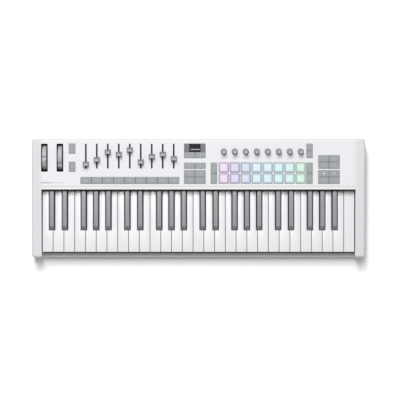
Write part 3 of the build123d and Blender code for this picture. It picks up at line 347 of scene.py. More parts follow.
def solids(node):
    """Points of each separate solid of a CAD node, in the row frame."""
    merged = bmesh.new()
    merged.from_mesh(frame["nodes"][node].data)
    bmesh.ops.remove_doubles(merged, verts=merged.verts, dist=SAME_POINT)
    left = set(merged.verts)
    groups = []
    while left:
        reached = [left.pop()]
        for vertex in reached:
            for edge in vertex.link_edges:
                other = edge.other_vert(vertex)
                if other in left:
                    left.remove(other)
                    reached.append(other)
        groups.append(np.array([vertex.co for vertex in reached]))
    merged.free()
    return sorted(groups, key=lambda points: (round(-points[:, 1].mean(), 3), points[:, 0].mean()))


def rounding(radius, steps=EDGE_STEPS):
    """A quarter round as pairs: how far in from the side, and how far below the top."""
    turns = [math.pi / 2 * i / steps for i in range(steps + 1)]
    return [(radius * (1 - math.cos(t)), radius * (1 - math.sin(t))) for t in turns]


def inset(outline, distance):
    """A closed anticlockwise outline moved inwards by a distance, with square corners kept."""
    moved = []
    for i, point in enumerate(outline):
        before = (Vector(point) - Vector(outline[i - 1])).normalized()
        after = (Vector(outline[(i + 1) % len(outline)]) - Vector(point)).normalized()
        inward = Vector((-before.y - after.y, before.x + after.x))
        share = 1 + before.dot(after)
        moved.append(Vector(point) + inward * (distance / share))
    return moved


def skin(mesh, rings, finish=0):
    """Joins rings of points, each with the same count, and caps the first and the last."""
    rows = [[mesh.verts.new(point) for point in ring] for ring in rings]
    count = len(rows[0])
    for low, high in zip(rows, rows[1:]):
        for i in range(count):
            face = mesh.faces.new((low[i], low[(i + 1) % count], high[(i + 1) % count], high[i]))
            face.material_index = finish
            face.smooth = True
    for cap in (rows[0][::-1], rows[-1]):
        mesh.faces.new(cap).material_index = finish
    return rows


def piece(name, mesh, materials, body, replaced=()):
    """Turns a finished bmesh into a piece that rides on a body."""
    bmesh.ops.recalc_face_normals(mesh, faces=mesh.faces)
    data = bpy.data.meshes.new(name)
    mesh.to_mesh(data)
    mesh.free()
    for material in materials:
        data.materials.append(material)
    data.shade_smooth()
    data.set_sharp_from_angle(angle=SHARP_FROM)
    made = bpy.data.objects.new(name, data)
    scene.collection.objects.link(made)
    if replaced:
        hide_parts(*replaced)
    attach(made, body)


white_gloss = Finish("white_key_gloss", Coat_Weight=0.25, Coat_Roughness=0.12)
white_gloss.drive(
    "Base Color",
    white_gloss.between(white_gloss.speckle(0.03, 2.0), shade(211, 211, 213), shade(214, 214, 216)),
)
white_gloss.drive("Roughness", white_gloss.speckle(0.006, 3.0) * 0.08 + 0.30)
white_gloss.bump(white_gloss.speckle(KEY_RIPPLE, 2.0), KEY_RIPPLE_DEPTH)

# Painted shade: the key sides turn darker with depth below the key tops.
white_side_shade = Finish("white_key_side", Roughness=0.6)
sunk = white_side_shade.ramp(KEY_TOP - white_side_shade.z, *SIDE_SHADE)
white_side_shade.drive("Base Color", white_side_shade.between(sunk, shade(190, 190, 192), shade(52, 52, 54)))
white_side_shade.bump(white_side_shade.speckle(KEY_RIPPLE, 2.0), KEY_RIPPLE_DEPTH)

for name in ("c", "d", "e", "f", "g", "a", "b"):
    keys = bmesh.new()
    for points in solids(f"keys_{name}"):
        low, high = points.min(0), points.max(0)
        at_end = points[points[:, 1] > high[1] - SAME_PLACE]
        skirt, tail = at_end[:, 2].min(), at_end[:, 0]
        on_top = points[abs(points[:, 2] - high[2]) < SAME_PLACE][:, 1]
        shoulders = on_top[(on_top > low[1] + SHOULDER_FROM) & (on_top < high[1] - SMALLEST_STEP)]
        shoulder = shoulders.min() if shoulders.size else high[1]
        outline = [(low[0], low[1]), (high[0], low[1]), (high[0], shoulder)]
        if tail.max() < high[0] - SMALLEST_STEP:
            outline.append((tail.max(), shoulder))
        outline += [(tail.max(), high[1]), (tail.min(), high[1])]
        if tail.min() > low[0] + SMALLEST_STEP:
            outline.append((tail.min(), shoulder))
        outline.append((low[0], shoulder))
        lip_back = low[1] + LIP_DEPTH
        lip = [(low[0], low[1]), (high[0], low[1]), (high[0], lip_back), (low[0], lip_back)]
        foot = [[(*p, skirt) for p in outline]]
        top = [[(*p, high[2] - down) for p in inset(outline, move)] for move, down in rounding(KEY_EDGE)]
        skin(keys, foot + top)
        skin(keys, [[(*p, low[2]) for p in lip], [(*p, skirt) for p in lip]])
    keys.normal_update()
    for face in keys.faces:
        if abs(face.normal.x) > SIDE_FACING and face.calc_center_median().z < KEY_TOP - KEY_EDGE:
            face.material_index = 1
    materials = [white_gloss.material, white_side_shade.material]
    piece(f"white_keys_{name}", keys, materials, f"keys_{name}", [f"keys_{name}"])


# ---- Black keys -----------------------------------------------------------------------------------
# Satin grey plastic caps moulded on bases. Each cap tapers upwards, leans back at the nose, and has
# well rounded top edges; its sides and its base are painted near-black as shade, darker than its top.

CAP_EDGE = 0.0013
CAP_CORNER = 0.0012
LEAST_CORNER = 0.0002
CORNER_STEPS = 5
CAP_OVERLAP = 0.001
CAP_FACING = 0.8


def rounded_rectangle(middle_x, low_y, high_y, half_x, corner):
    """An anticlockwise outline with rounded corners."""
    outline = []
    centres = (
        (middle_x + half_x - corner, high_y - corner, 0),
        (middle_x - half_x + corner, high_y - corner, 1),
        (middle_x - half_x + corner, low_y + corner, 2),
        (middle_x + half_x - corner, low_y + corner, 3),
    )
    for x, y, quarter in centres:
        for i in range(CORNER_STEPS + 1):
            turn = math.pi / 2 * (quarter + i / CORNER_STEPS)
            outline.append((x + corner * math.cos(turn), y + corner * math.sin(turn)))
    return outline


key_grey = moulded("grey_key_top", shade(126, 128, 133), shade(131, 133, 138), 0.0009, 0.00001, 0.42, 0.08)
# Painted shade: a near-black copy of the key grey for the cap sides and the base.
black_key_side_shade = moulded("grey_key_side", shade(16, 17, 19), shade(22, 23, 25), 0.0009, 0.00001, 0.6, 0.08)

for name in ("c_sharp", "d_sharp", "f_sharp", "g_sharp", "a_sharp"):
    keys = bmesh.new()
    for points in solids(f"keys_{name}"):
        low, high = points.min(0), points.max(0)
        top = points[points[:, 2] > high[2] - SAME_PLACE]
        base_z = points[points[:, 1] > high[1] - SAME_PLACE][:, 2].max()
        base_y = points[points[:, 2] > base_z + SAME_PLACE][:, 1].max()
        middle = (low[0] + high[0]) / 2
        wide, narrow = (high[0] - low[0]) / 2, (top[:, 0].max() - top[:, 0].min()) / 2
        nose = top[:, 1].min() - low[1]
        rise = high[2] - base_z

        def cap_ring(up, move=0.0):
            share = up / rise
            corner = max(CAP_CORNER - move, LEAST_CORNER)
            half = wide + (narrow - wide) * share - move
            front = low[1] + nose * share + move
            return [(*p, base_z + up) for p in rounded_rectangle(middle, front, base_y - move, half, corner)]

        rings = [[(*p, low[2]) for p in rounded_rectangle(middle, low[1], base_y, wide, CAP_CORNER)]]
        rings += [cap_ring(rise * share) for share in (0.0, 0.25, 0.5, 0.75)]
        rings += [cap_ring(rise - down, move) for move, down in rounding(CAP_EDGE)]
        skin(keys, rings)
        tail = rounded_rectangle(middle, base_y - CAP_OVERLAP, high[1], wide, CAP_CORNER)
        skin(keys, [[(*p, low[2]) for p in tail], [(*p, base_z) for p in tail]])
    keys.normal_update()
    for face in keys.faces:
        below_cap = face.calc_center_median().z < base_z - SMALLEST_STEP
        if abs(face.normal.x) > CAP_FACING or below_cap:
            face.material_index = 1
    materials = [key_grey.material, black_key_side_shade.material]
    piece(f"black_keys_{name}", keys, materials, f"keys_{name}", [f"keys_{name}"])


# ---- Pads -----------------------------------------------------------------------------------------
# Translucent silicone squares over lamps, crowned a little and softly rounded. Each column glows in
# its own tint, from pink at the bass side to green, and fades towards the edges of each pad.

joints = {joint["name"]: joint for joint in frame["joints"]}
ALONG = Vector(joints["fader_1_slide"]["axis"])
UP = Vector((0.0, -ALONG.z, ALONG.y))
SURFACE = max(vertex.co.dot(UP) for vertex in frame["nodes"]["top_case"].data.vertices)
ON_PANEL = Matrix.LocRotScale(UP * SURFACE, Matrix((Vector((1, 0, 0)), ALONG, UP)).transposed(), None)
OFF_PANEL = ON_PANEL.inverted()

PAD_TINTS = [
    shade(242, 223, 248),
    shade(226, 218, 246),
    shade(216, 226, 246),
    shade(222, 242, 250),
    shade(222, 242, 252),
    shade(216, 246, 250),
    shade(216, 246, 240),
    shade(218, 247, 229),
]
PAD_EDGE = 0.0018
PAD_CORNER = 0.0022
PAD_CROWN = 0.00025
PAD_FOOT = -0.0055
PAD_GLOW = 0.275
PAD_SKIN = 0.55
PAD_FADE = (0.45, 0.95)
DRAFT_BELOW = 0.0012
SMALLEST_CORNER = 0.0001


def panel_boxes(node):
    """Lowest and highest corner of each solid of a node, as x, along the panel, and off it."""
    corners = []
    for points in solids(node):
        local = np.array([OFF_PANEL @ Vector(point) for point in points])
        corners.append((local.min(0), local.max(0)))
    return sorted(corners, key=lambda pair: (-round(pair[0][1], 3), pair[0][0]))


def cushion(mesh, low, high, corner, edge, crown, foot, draft=0.0):
    """A block on the panel with rounded corners and edges and a slightly domed top."""
    middle_x, half_x = (low[0] + high[0]) / 2, (high[0] - low[0]) / 2
    half_y = (high[1] - low[1]) / 2
    rings = []

    def ring(move, height):
        bend = max(corner - move, SMALLEST_CORNER)
        outline = rounded_rectangle(middle_x, low[1] + move, high[1] - move, half_x - move, bend)
        rings.append([ON_PANEL @ Vector((*p, height)) for p in outline])

    ring(-draft, foot)
    ring(-draft, -DRAFT_BELOW)
    ring(0.0, 0.0)
    for move, down in rounding(edge):
        ring(move, high[2] - crown - down)
    reach = min(half_x, half_y) - edge
    for share in (0.25, 0.5, 0.75, 0.93):
        ring(edge + reach * share, high[2] - crown * (1 - share) ** 2)
    skin(mesh, rings)


pad_columns = sorted(
    (low[0] + high[0]) / 2 for group in ("odd", "even") for low, high in panel_boxes(f"pads_upper_{group}")
)
pad_pitch = (pad_columns[-1] - pad_columns[0]) / (len(pad_columns) - 1)
pad_start = pad_columns[0] - pad_pitch / 2
pad_rows = sorted(
    (low[1] + high[1]) / 2 for row in ("upper", "lower") for low, high in panel_boxes(f"pads_{row}_odd")[:1]
)

pad_glow = Finish("lit_silicone", Roughness=0.42, Emission_Strength=PAD_GLOW)
across = (pad_glow.x - pad_start) / pad_pitch
stops = [(i / len(PAD_TINTS), tint) for i, tint in enumerate(PAD_TINTS)]
stepped = {"interpolation": "CONSTANT", "stops": stops}
tint = pad_glow.node("ShaderNodeValToRGB", stepped, {0: across / len(pad_columns)})
along = pad_glow.y * ALONG.y + pad_glow.z * ALONG.z
in_column = pad_glow.node("ShaderNodeMath", {"operation": "FRACT"}, {0: across})
off_column = abs(in_column - 0.5) * (2 * pad_pitch)
off_rows = {i: abs(along - row) for i, row in enumerate(pad_rows)}
off_row = pad_glow.node("ShaderNodeMath", {"operation": "MINIMUM"}, off_rows) * 2
further = pad_glow.node("ShaderNodeMath", {"operation": "MAXIMUM"}, {0: off_column, 1: off_row})
fade = pad_glow.ramp(further / pad_pitch, *PAD_FADE)
shone = pad_glow.times(tint, pad_glow.between(fade, (1.0, 1.0, 1.0, 1.0), shade(176, 176, 180)))
pad_glow.drive("Base Color", pad_glow.times(shone, (PAD_SKIN, PAD_SKIN, PAD_SKIN, 1.0)))
pad_glow.drive("Emission Color", shone)
pad_glow.bump(pad_glow.speckle(0.0011, 3.0), 0.00001)

for row in ("upper", "lower"):
    for columns in ("odd", "even"):
        node = f"pads_{row}_{columns}"
        pads = bmesh.new()
        for low, high in panel_boxes(node):
            cushion(pads, low, high, PAD_CORNER, PAD_EDGE, PAD_CROWN, foot=PAD_FOOT)
        piece(f"drum_{node}", pads, [pad_glow.material], node, [node])


# ---- Buttons --------------------------------------------------------------------------------------
# Grey silicone keys in shared openings, matt and slightly domed, with small printed signs: dashes,
# arrows, a square, a play triangle and two dots, one of them red.

BUTTON_CORNER = 0.001
BUTTON_EDGE = 0.0005
BUTTON_CROWN = 0.00015
BUTTON_FOOT = -0.005
BUTTON_DRAFT = 0.0002
SIGN_LIFT = 0.00003
SIGN_SIZE = 0.0032

button_grey = moulded("grey_silicone", shade(139, 142, 144), shade(144, 147, 149), 0.0004, 0.00002, 0.62)
light_ink = moulded("light_ink", shade(176, 178, 181), shade(183, 185, 188), 0.0006, 0.000004, 0.5)
white_ink = Finish("white_lamp", Base_Color=shade(236, 236, 240), Emission_Strength=0.3)
white_ink.drive("Roughness", white_ink.speckle(0.0005) * 0.2 + 0.4)
white_ink.drive(
    "Emission Color",
    white_ink.between(white_ink.speckle(0.0008), shade(228, 228, 234), shade(244, 244, 248)),
)
red_ink = moulded("red_ink", shade(176, 128, 130), shade(182, 132, 134), 0.0006, 0.000004, 0.5)


def prism(mesh, outline, centre, heights, finish):
    """An outline around its own middle, raised between two heights off the panel."""
    rings = [[ON_PANEL @ Vector((centre[0] + x, centre[1] + y, h)) for x, y in outline] for h in heights]
    skin(mesh, rings, finish)


def sign(mesh, outline, centre, height, finish):
    """A thin printed shape on a button, from an outline around its own middle."""
    prism(mesh, outline, centre, (height - SIGN_LIFT, height + SIGN_LIFT), finish)


def dash(width, height):
    """A short bar."""
    return [(x * width / 2, y * height / 2) for x, y in ((-1, -1), (1, -1), (1, 1), (-1, 1))]


def regular(sides, radius, turn=0.0):
    """A regular shape: a triangle with 3 sides, and a dot with many."""
    turns = [turn + 2 * math.pi * i / sides for i in range(sides)]
    return [(radius * math.cos(t), radius * math.sin(t)) for t in turns]


arrow_up = regular(3, SIGN_SIZE / 2, math.pi / 2)
arrow_down = regular(3, SIGN_SIZE / 2, -math.pi / 2)
arrow_right = regular(3, SIGN_SIZE * 0.6)
arrow_left = regular(3, SIGN_SIZE * 0.6, math.pi)
dot = regular(20, SIGN_SIZE / 2)
small_dot = regular(20, SIGN_SIZE * 0.45)
short_bar = dash(SIGN_SIZE, SIGN_SIZE * 0.25)
bar = dash(SIGN_SIZE * 1.5, SIGN_SIZE * 0.25)
square = dash(SIGN_SIZE * 0.9, SIGN_SIZE * 0.9)
wide_dash = dash(SIGN_SIZE * 2.6, SIGN_SIZE * 0.3)
LIGHT, WHITE, RED = 1, 2, 3

button_signs = {
    "octave_buttons": [(short_bar, LIGHT)] * 2,
    "fader_buttons": [(wide_dash, LIGHT)] * 9,
    "menu_buttons": [(bar, LIGHT), (bar, LIGHT), (arrow_left, LIGHT), (arrow_right, LIGHT)],
    "mode_buttons": [(bar, LIGHT)] * 4,
    "knob_bank_buttons": [(arrow_up, LIGHT), (arrow_down, LIGHT)],
    "pad_side_buttons": [(arrow_up, LIGHT), (arrow_up, LIGHT), (arrow_down, LIGHT), (arrow_right, LIGHT)],
    "transport_buttons": [
        (bar, LIGHT), (bar, LIGHT), (bar, LIGHT), (bar, LIGHT),
        (arrow_right, WHITE), (square, LIGHT), (small_dot, LIGHT), (dot, RED),
    ],
}

for node, signs in button_signs.items():
    buttons = bmesh.new()
    for (low, high), (outline, ink) in zip(panel_boxes(node), signs):
        cushion(buttons, low, high, BUTTON_CORNER, BUTTON_EDGE, BUTTON_CROWN, BUTTON_FOOT, BUTTON_DRAFT)
        centre = ((low[0] + high[0]) / 2, (low[1] + high[1]) / 2)
        sign(buttons, outline, centre, high[2], ink)
    inks = [button_grey.material, light_ink.material, white_ink.material, red_ink.material]
    piece(f"soft_{node}", buttons, inks, node, [node])


# ---- Fader caps -----------------------------------------------------------------------------------
# Satin grey caps, waisted front and back for the fingertips and scooped across the top, with a light
# line moulded across the middle. Each sits on a steel lever that runs down its slot.

CAP_BASE = 0.001
CAP_SKIRT = 0.0012
CAP_WAIST = 0.0013
CAP_LEAN = 0.0005
CAP_RIM = 0.0006
CAP_BEND = 0.0012
SCOOP = 0.0011
LINE = (0.009, 0.0012)
LINE_HEIGHTS = (-0.0005, 0.0003)
LEVER = (0.0012, 0.004)
LEVER_INTO_CAP = 0.001

cap_grey = moulded("grey_caps", shade(122, 124, 127), shade(128, 130, 133), 0.0006, 0.00001, 0.4, 0.08)
steel = Finish("brushed_steel", Metallic=1.0, Base_Color=shade(196, 198, 202))
steel.drive("Roughness", steel.speckle(0.0007, 2.0) * 0.2 + 0.25)

for number in range(1, 10):
    node = f"fader_{number}"
    low, high = panel_boxes(node)[0]
    middle_x, half_x = (low[0] + high[0]) / 2, (high[0] - low[0]) / 2
    middle_y, half_y = (low[1] + high[1]) / 2, (high[1] - low[1]) / 2
    tall = high[2] - CAP_BASE
    cap = bmesh.new()

    def cap_ring(width, depth, height, corner=CAP_BEND, scoop=0.0):
        outline = rounded_rectangle(middle_x, middle_y - depth, middle_y + depth, width, corner)
        return [
            ON_PANEL @ Vector((x, y, height - scoop * (1 - ((y - middle_y) / half_y) ** 2)))
            for x, y in outline
        ]

    rings = [cap_ring(half_x, half_y, CAP_BASE), cap_ring(half_x, half_y, CAP_BASE + CAP_SKIRT)]
    for share in (0.3, 0.5, 0.7, 0.85):
        waist = CAP_WAIST * math.sin(math.pi * share)
        rings.append(cap_ring(half_x - CAP_LEAN * share, half_y - waist, CAP_BASE + tall * share))
    for move, down in rounding(CAP_RIM):
        rings.append(cap_ring(half_x - CAP_RIM - move, half_y - CAP_RIM - move, high[2] - down))
    for share in (0.9, 0.7, 0.45, 0.2, 0.06):
        width, depth = (half_x - 2 * CAP_RIM) * share, (half_y - 2 * CAP_RIM) * share
        rings.append(cap_ring(width, depth, high[2], CAP_BEND * share, SCOOP))
    skin(cap, rings)
    prism(cap, dash(*LINE), (middle_x, middle_y), [high[2] - SCOOP + h for h in LINE_HEIGHTS], 1)
    prism(cap, dash(*LEVER), (middle_x, middle_y), (low[2], CAP_BASE + LEVER_INTO_CAP), 2)
    materials = [cap_grey.material, light_ink.material, steel.material]
    piece(f"{node}_cap", cap, materials, node, [node])


# ---- Knobs ----------------------------------------------------------------------------------------
# Endless rotary knobs. Each is a tapered cap moulded in grey plastic, with a ribbed grip and a
# dished top painted lighter as a highlight, pushed onto a round shaft.

RIBS = 24
RIB_DEPTH = 0.00028
RIB_POINTS = 4
KNOB_SHAFT = 0.003
KNOB_SKIRT = 0.001
SKIRT_HEIGHTS = (0.0004, 0.0016, 0.002)
KNOB_NARROWING = 0.86
GRIP_INSET = 0.0003
KNOB_RIM = 0.0005
DISH = 0.0034
DISH_LIP = (0.0004, 0.0001)
DISH_DEPTH = 0.0006
DISH_RINGS = (0.8, 0.55, 0.3, 0.08)

# Painted highlight: the dished top is a lighter grey than the cap.
knob_top = moulded("knob_top", shade(150, 152, 155), shade(157, 159, 162), 0.0007, 0.00001, 0.35, 0.08)

for number in range(1, 9):
    node = f"knob_{number}"
    joint = joints[f"{node}_turn"]
    foot = OFF_PANEL @ Vector(joint["pos_m"])
    low, high = panel_boxes(node)[0]
    wide = (high[0] - low[0]) / 2
    narrow = wide * KNOB_NARROWING
    count = RIBS * RIB_POINTS
    grip_height = high[2] - KNOB_SKIRT

    def round_ring(radius, height, ribs=0.0):
        points = []
        for i in range(count):
            turn = 2 * math.pi * i / count
            reach = radius - ribs * RIB_DEPTH * (0.5 - 0.5 * math.cos(RIBS * turn))
            x, y = foot.x + reach * math.cos(turn), foot.y + reach * math.sin(turn)
            points.append(ON_PANEL @ Vector((x, y, height)))
        return points

    knob = bmesh.new()
    rings = [round_ring(KNOB_SHAFT, low[2]), round_ring(KNOB_SHAFT, KNOB_SKIRT)]
    rings.append(round_ring(wide - GRIP_INSET, KNOB_SKIRT))
    rings += [round_ring(wide, KNOB_SKIRT + up) for up in SKIRT_HEIGHTS[:2]]
    rings.append(round_ring(wide - GRIP_INSET, KNOB_SKIRT + SKIRT_HEIGHTS[2], 1.0))
    for share in (0.35, 0.7, 0.92):
        radius = wide - GRIP_INSET + (narrow - wide) * share
        rings.append(round_ring(radius, KNOB_SKIRT + grip_height * share, 1.0))
    for move, down in rounding(KNOB_RIM):
        rings.append(round_ring(narrow - GRIP_INSET - move, high[2] - down))
    rings += [round_ring(DISH + DISH_LIP[0], high[2]), round_ring(DISH, high[2] - DISH_LIP[1])]
    for share in DISH_RINGS:
        rings.append(round_ring(DISH * share, high[2] - DISH_DEPTH * (1 - share**2)))
    rows = skin(knob, rings)
    dish_points = {vertex for row in rows[-len(DISH_RINGS) - 1 :] for vertex in row}
    for face in knob.faces:
        face.material_index = 1 if all(vertex in dish_points for vertex in face.verts) else 0
    piece(f"{node}_cap", knob, [cap_grey.material, knob_top.material], node, [node])


# ---- Wheels ---------------------------------------------------------------------------------------
# Pitch and modulation wheels in light grey soft-touch plastic, with rounded rims, a thumb dimple,
# fine cross grooves, a thin web and an axle that turns in the bracket.

WHEEL_STEPS = 240
DIMPLE_HALF_ANGLE = math.radians(13.0)
DIMPLE_DEPTH = 0.0024
GROOVE_DEPTH = 0.00022
GROOVES = 80
RIM_HALF = 0.00465
RIM_ROUND = 0.0016
RIM_DEPTH = 0.005
WEB_HALF = 0.0015
HUB_RADIUS = 0.0065
AXLE_RADIUS = 0.003
MOD_FORWARD = math.radians(33.0)

wheel_grey = moulded("soft_touch_grey", shade(152, 154, 156), shade(158, 160, 162), 0.0005, 0.00002, 0.5)

for node, forward in (("pitch_wheel", 0.0), ("mod_wheel", MOD_FORWARD)):
    joint = joints[f"{node}_turn"]
    axle = Vector(joint["pos_m"])
    low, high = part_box(node)
    radius = (high.z - low.z) / 2 if node == "mod_wheel" else axle.z - low.z
    facing = math.atan2(UP.z, UP.y) + forward

    def wheel_ring(x, reach, worn=0.0):
        points = []
        for i in range(WHEEL_STEPS):
            turn = 2 * math.pi * i / WHEEL_STEPS
            off = (turn - facing + math.pi) % (2 * math.pi) - math.pi
            if abs(off) < DIMPLE_HALF_ANGLE:
                cut = DIMPLE_DEPTH * math.cos(off / DIMPLE_HALF_ANGLE * math.pi / 2) ** 2
            else:
                cut = GROOVE_DEPTH * (0.5 - 0.5 * math.cos(GROOVES * turn))
            r = reach - worn * cut
            points.append((x, axle.y + r * math.cos(turn), axle.z + r * math.sin(turn)))
        return points

    wheel = bmesh.new()
    middle = axle.x
    half = (high.x - low.x) / 2
    inner = radius - RIM_DEPTH
    profile = [(half, AXLE_RADIUS, 0.0), (RIM_HALF, AXLE_RADIUS, 0.0), (RIM_HALF, HUB_RADIUS, 0.0)]
    profile += [(WEB_HALF, HUB_RADIUS, 0.0), (WEB_HALF, inner, 0.0), (RIM_HALF, inner, 0.0)]
    profile += [(RIM_HALF - move, radius - down, 1.0) for move, down in rounding(RIM_ROUND, 5)]
    rings = [wheel_ring(middle - out, reach, worn) for out, reach, worn in profile]
    rings += [wheel_ring(middle + out, reach, worn) for out, reach, worn in profile[::-1]]
    skin(wheel, rings)
    piece(f"{node}_tyre", wheel, [wheel_grey.material], node, [node])


# ---- Display --------------------------------------------------------------------------------------
# A dark tinted window flush with the panel, printed grey behind its ends, over a small black screen
# with one line lit near its lower edge.

SCREEN_HALF = 0.0123
LIT_Y = (0.0042, 0.0068)
LIT_X = (-0.0095, 0.0105)
BLOCKS_PER_METRE = 520.0
BLOCK_GAP = 0.28

window_low, window_high = panel_boxes("display_window")[0]

window = Finish("tinted_window", IOR=1.49, Coat_Weight=0.6, Coat_Roughness=0.05, Emission_Strength=0.8)
window.drive("Roughness", window.speckle(0.004, 4.0) * 0.12 + 0.1)
middle = (window_low[0] + window_high[0]) / 2
on_screen = abs(window.x - middle) < SCREEN_HALF
up_window = window.y * ALONG.y + window.z * ALONG.z
in_line = (up_window > window_low[1] + LIT_Y[0]) * (up_window < window_low[1] + LIT_Y[1])
in_line = in_line * (window.x > middle + LIT_X[0]) * (window.x < middle + LIT_X[1])
in_block = window.node("ShaderNodeMath", {"operation": "FRACT"}, {0: window.x * BLOCKS_PER_METRE})
beads = in_block > BLOCK_GAP
window.drive("Base Color", window.between(on_screen, shade(112, 114, 118), shade(12, 12, 14)))
window.drive("Emission Color", window.between(in_line * beads, (0, 0, 0, 1), shade(214, 216, 220)))
dress("display_window", window.material)


# ---- Printed marks --------------------------------------------------------------------------------
# Ink printed on the panel: in pale grey, scale ticks beside the faders and a short bar behind each
# knob, and in dark grey, a plain row of bars in front of the wheels. The bars carry no words.

TICKS = 5
TICK = (0.0022, 0.0003)
TICK_FROM_SLOT = 0.0088
INK_LIFT = 0.00002
KNOB_BAR = (0.006, 0.0008)
KNOB_BAR_OFFSET = 0.0125
MARK_X = (-0.3435, -0.2937)
MARK_BACK = 0.0962
MARK_BARS = 14
MARK_FILL = 0.62
MARK_HEIGHTS = (0.0020, 0.0009)


class Growth(Nodes):
    """A Geometry Nodes tree with named sizes, made real on a set of points."""

    def __init__(self, name, sizes):
        super().__init__(bpy.data.node_groups.new(name, "GeometryNodeTree"))
        face = self.tree.interface
        face.new_socket("Geometry", in_out="INPUT", socket_type="NodeSocketGeometry")
        face.new_socket("Geometry", in_out="OUTPUT", socket_type="NodeSocketGeometry")
        self.ids = {}
        for size, value in sizes.items():
            socket = face.new_socket(size, in_out="INPUT", socket_type="NodeSocketFloat")
            socket.default_value = value
            self.ids[size] = socket.identifier
        self.entry = self.tree.nodes.new("NodeGroupInput")
        self.exit = self.tree.nodes.new("NodeGroupOutput")

    def given(self, name):
        return Wire(self, self.entry.outputs[name])

    def finish(self, geometry, material):
        real = self.node("GeometryNodeRealizeInstances", {}, {"Geometry": geometry})
        painted = self.node("GeometryNodeSetMaterial", {}, {"Geometry": real, "Material": material})
        self.tree.links.new(painted.socket, self.exit.inputs["Geometry"])

    def grow(self, points, sizes, place):
        """Runs the tree on the points and returns its mesh, moved into its place."""
        seed = bpy.data.meshes.new("seed_points")
        seed.from_pydata(points, [], [])
        carrier = bpy.data.objects.new("seed_points", seed)
        scene.collection.objects.link(carrier)
        modifier = carrier.modifiers.new("growth", "NODES")
        modifier.node_group = self.tree
        for size, value in sizes.items():
            modifier[self.ids[size]] = value
        grown = carrier.evaluated_get(bpy.context.evaluated_depsgraph_get())
        mesh = bpy.data.meshes.new_from_object(grown)
        mesh.transform(place)
        bpy.data.objects.remove(carrier)
        return mesh


def joined(meshes):
    """One bmesh from several meshes."""
    whole = bmesh.new()
    for mesh in meshes:
        whole.from_mesh(mesh)
    return whole


def bar_tree(name, ink):
    """Flat bars in one ink, one on each point."""
    tree = Growth(name, {"Width": 0.002, "Height": 0.0004, "Thickness": 0.00004})
    sides = {"X": tree.given("Width"), "Y": tree.given("Height"), "Z": tree.given("Thickness")}
    size = tree.node("ShaderNodeCombineXYZ", {}, sides)
    spots = {
        "Points": tree.given("Geometry"),
        "Instance": tree.node("GeometryNodeMeshCube", {}, {"Size": size}),
    }
    tree.finish(tree.node("GeometryNodeInstanceOnPoints", {}, spots), ink.material)
    return tree


grey_ink = moulded("grey_ink", shade(196, 198, 203), shade(202, 204, 208), 0.0008, 0.000002, 0.5)
printing = bar_tree("printed_bars", grey_ink)

back_edge = (OFF_PANEL @ Vector((0.0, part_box("top_case")[1].y, SURFACE))).y

fader_middles = []
for number in range(1, 10):
    joint = joints[f"fader_{number}_slide"]
    low, high = panel_boxes(f"fader_{number}")[0]
    centre = (low[1] + high[1]) / 2 + sum(joint["range_m"]) / 2
    travel = joint["range_m"][1] - joint["range_m"][0]
    fader_middles.append(((low[0] + high[0]) / 2, centre, travel))
ticks = [
    (x + side * TICK_FROM_SLOT, centre + travel * (i / (TICKS - 1) - 0.5), 0.0)
    for x, centre, travel in fader_middles
    for side in (-1, 1)
    for i in range(TICKS)
]
thin = 2 * INK_LIFT
scale_ticks = printing.grow(ticks, {"Width": TICK[0], "Height": TICK[1], "Thickness": thin}, ON_PANEL)
knob_feet = [OFF_PANEL @ Vector(joints[f"knob_{n}_turn"]["pos_m"]) for n in range(1, 9)]
bars_over_knobs = [(foot.x, foot.y + KNOB_BAR_OFFSET, 0.0) for foot in knob_feet]
knob_sizes = {"Width": KNOB_BAR[0], "Height": KNOB_BAR[1], "Thickness": thin}
knob_bars = printing.grow(bars_over_knobs, knob_sizes, ON_PANEL)
piece("pale_print", joined([scale_ticks, knob_bars]), [grey_ink.material], "case")

dark_ink = moulded("dark_ink", shade(96, 97, 101), shade(104, 105, 109), 0.0008, 0.000002, 0.5)
dark_printing = bar_tree("dark_bars", dark_ink)
mark_step = (MARK_X[1] - MARK_X[0]) / MARK_BARS
mark_middles = [(MARK_X[0] + mark_step * (i + 0.5), back_edge - MARK_BACK, 0.0) for i in range(MARK_BARS)]
mark_halves = (mark_middles[: MARK_BARS // 2], mark_middles[MARK_BARS // 2 :])
mark_bars = [
    dark_printing.grow(
        middles, {"Width": mark_step * MARK_FILL, "Height": height, "Thickness": thin}, ON_PANEL
    )
    for middles, height in zip(mark_halves, MARK_HEIGHTS)
]
piece("maker_stripe", joined(mark_bars), [dark_ink.material], "case")


# ---- Screws ---------------------------------------------------------------------------------------
# Steel pan-head screws with a cross recess, driven up from below into the floor posts, the chassis
# and the bracket, and through the board.

HEAD_TAPER = 0.0005
RECESS = (0.0032, 0.0008, 0.0012)
FLOOR_LEVEL = 0.004

steel_dark = Finish("screw_steel", Metallic=1.0, Base_Color=shade(150, 152, 156))
steel_dark.drive("Roughness", steel_dark.speckle(0.0004, 2.0) * 0.2 + 0.3)
steel_dark.bump(steel_dark.speckle(0.0002, 2.0), 0.000004)

floor_seats = []
board_seats = []
for points in solids("case_screws"):
    low, high = points.min(0), points.max(0)
    if low[2] < FLOOR_LEVEL:
        floor_seats.append(((low[0] + high[0]) / 2, (low[1] + high[1]) / 2, high[2]))
        head_radius = (high[0] - low[0]) / 2
        shank_radius = np.ptp(points[points[:, 2] > high[2] - SAME_PLACE][:, 0]) / 2
        steps = sorted({round(float(z), 5) for z in points[:, 2]})
        head_height, screw_length = steps[1] - steps[0], steps[-1] - steps[1]
    else:
        local = np.array([OFF_PANEL @ Vector(point) for point in points])
        low, high = local.min(0), local.max(0)
        board_seats.append(((low[0] + high[0]) / 2, (low[1] + high[1]) / 2, high[2]))

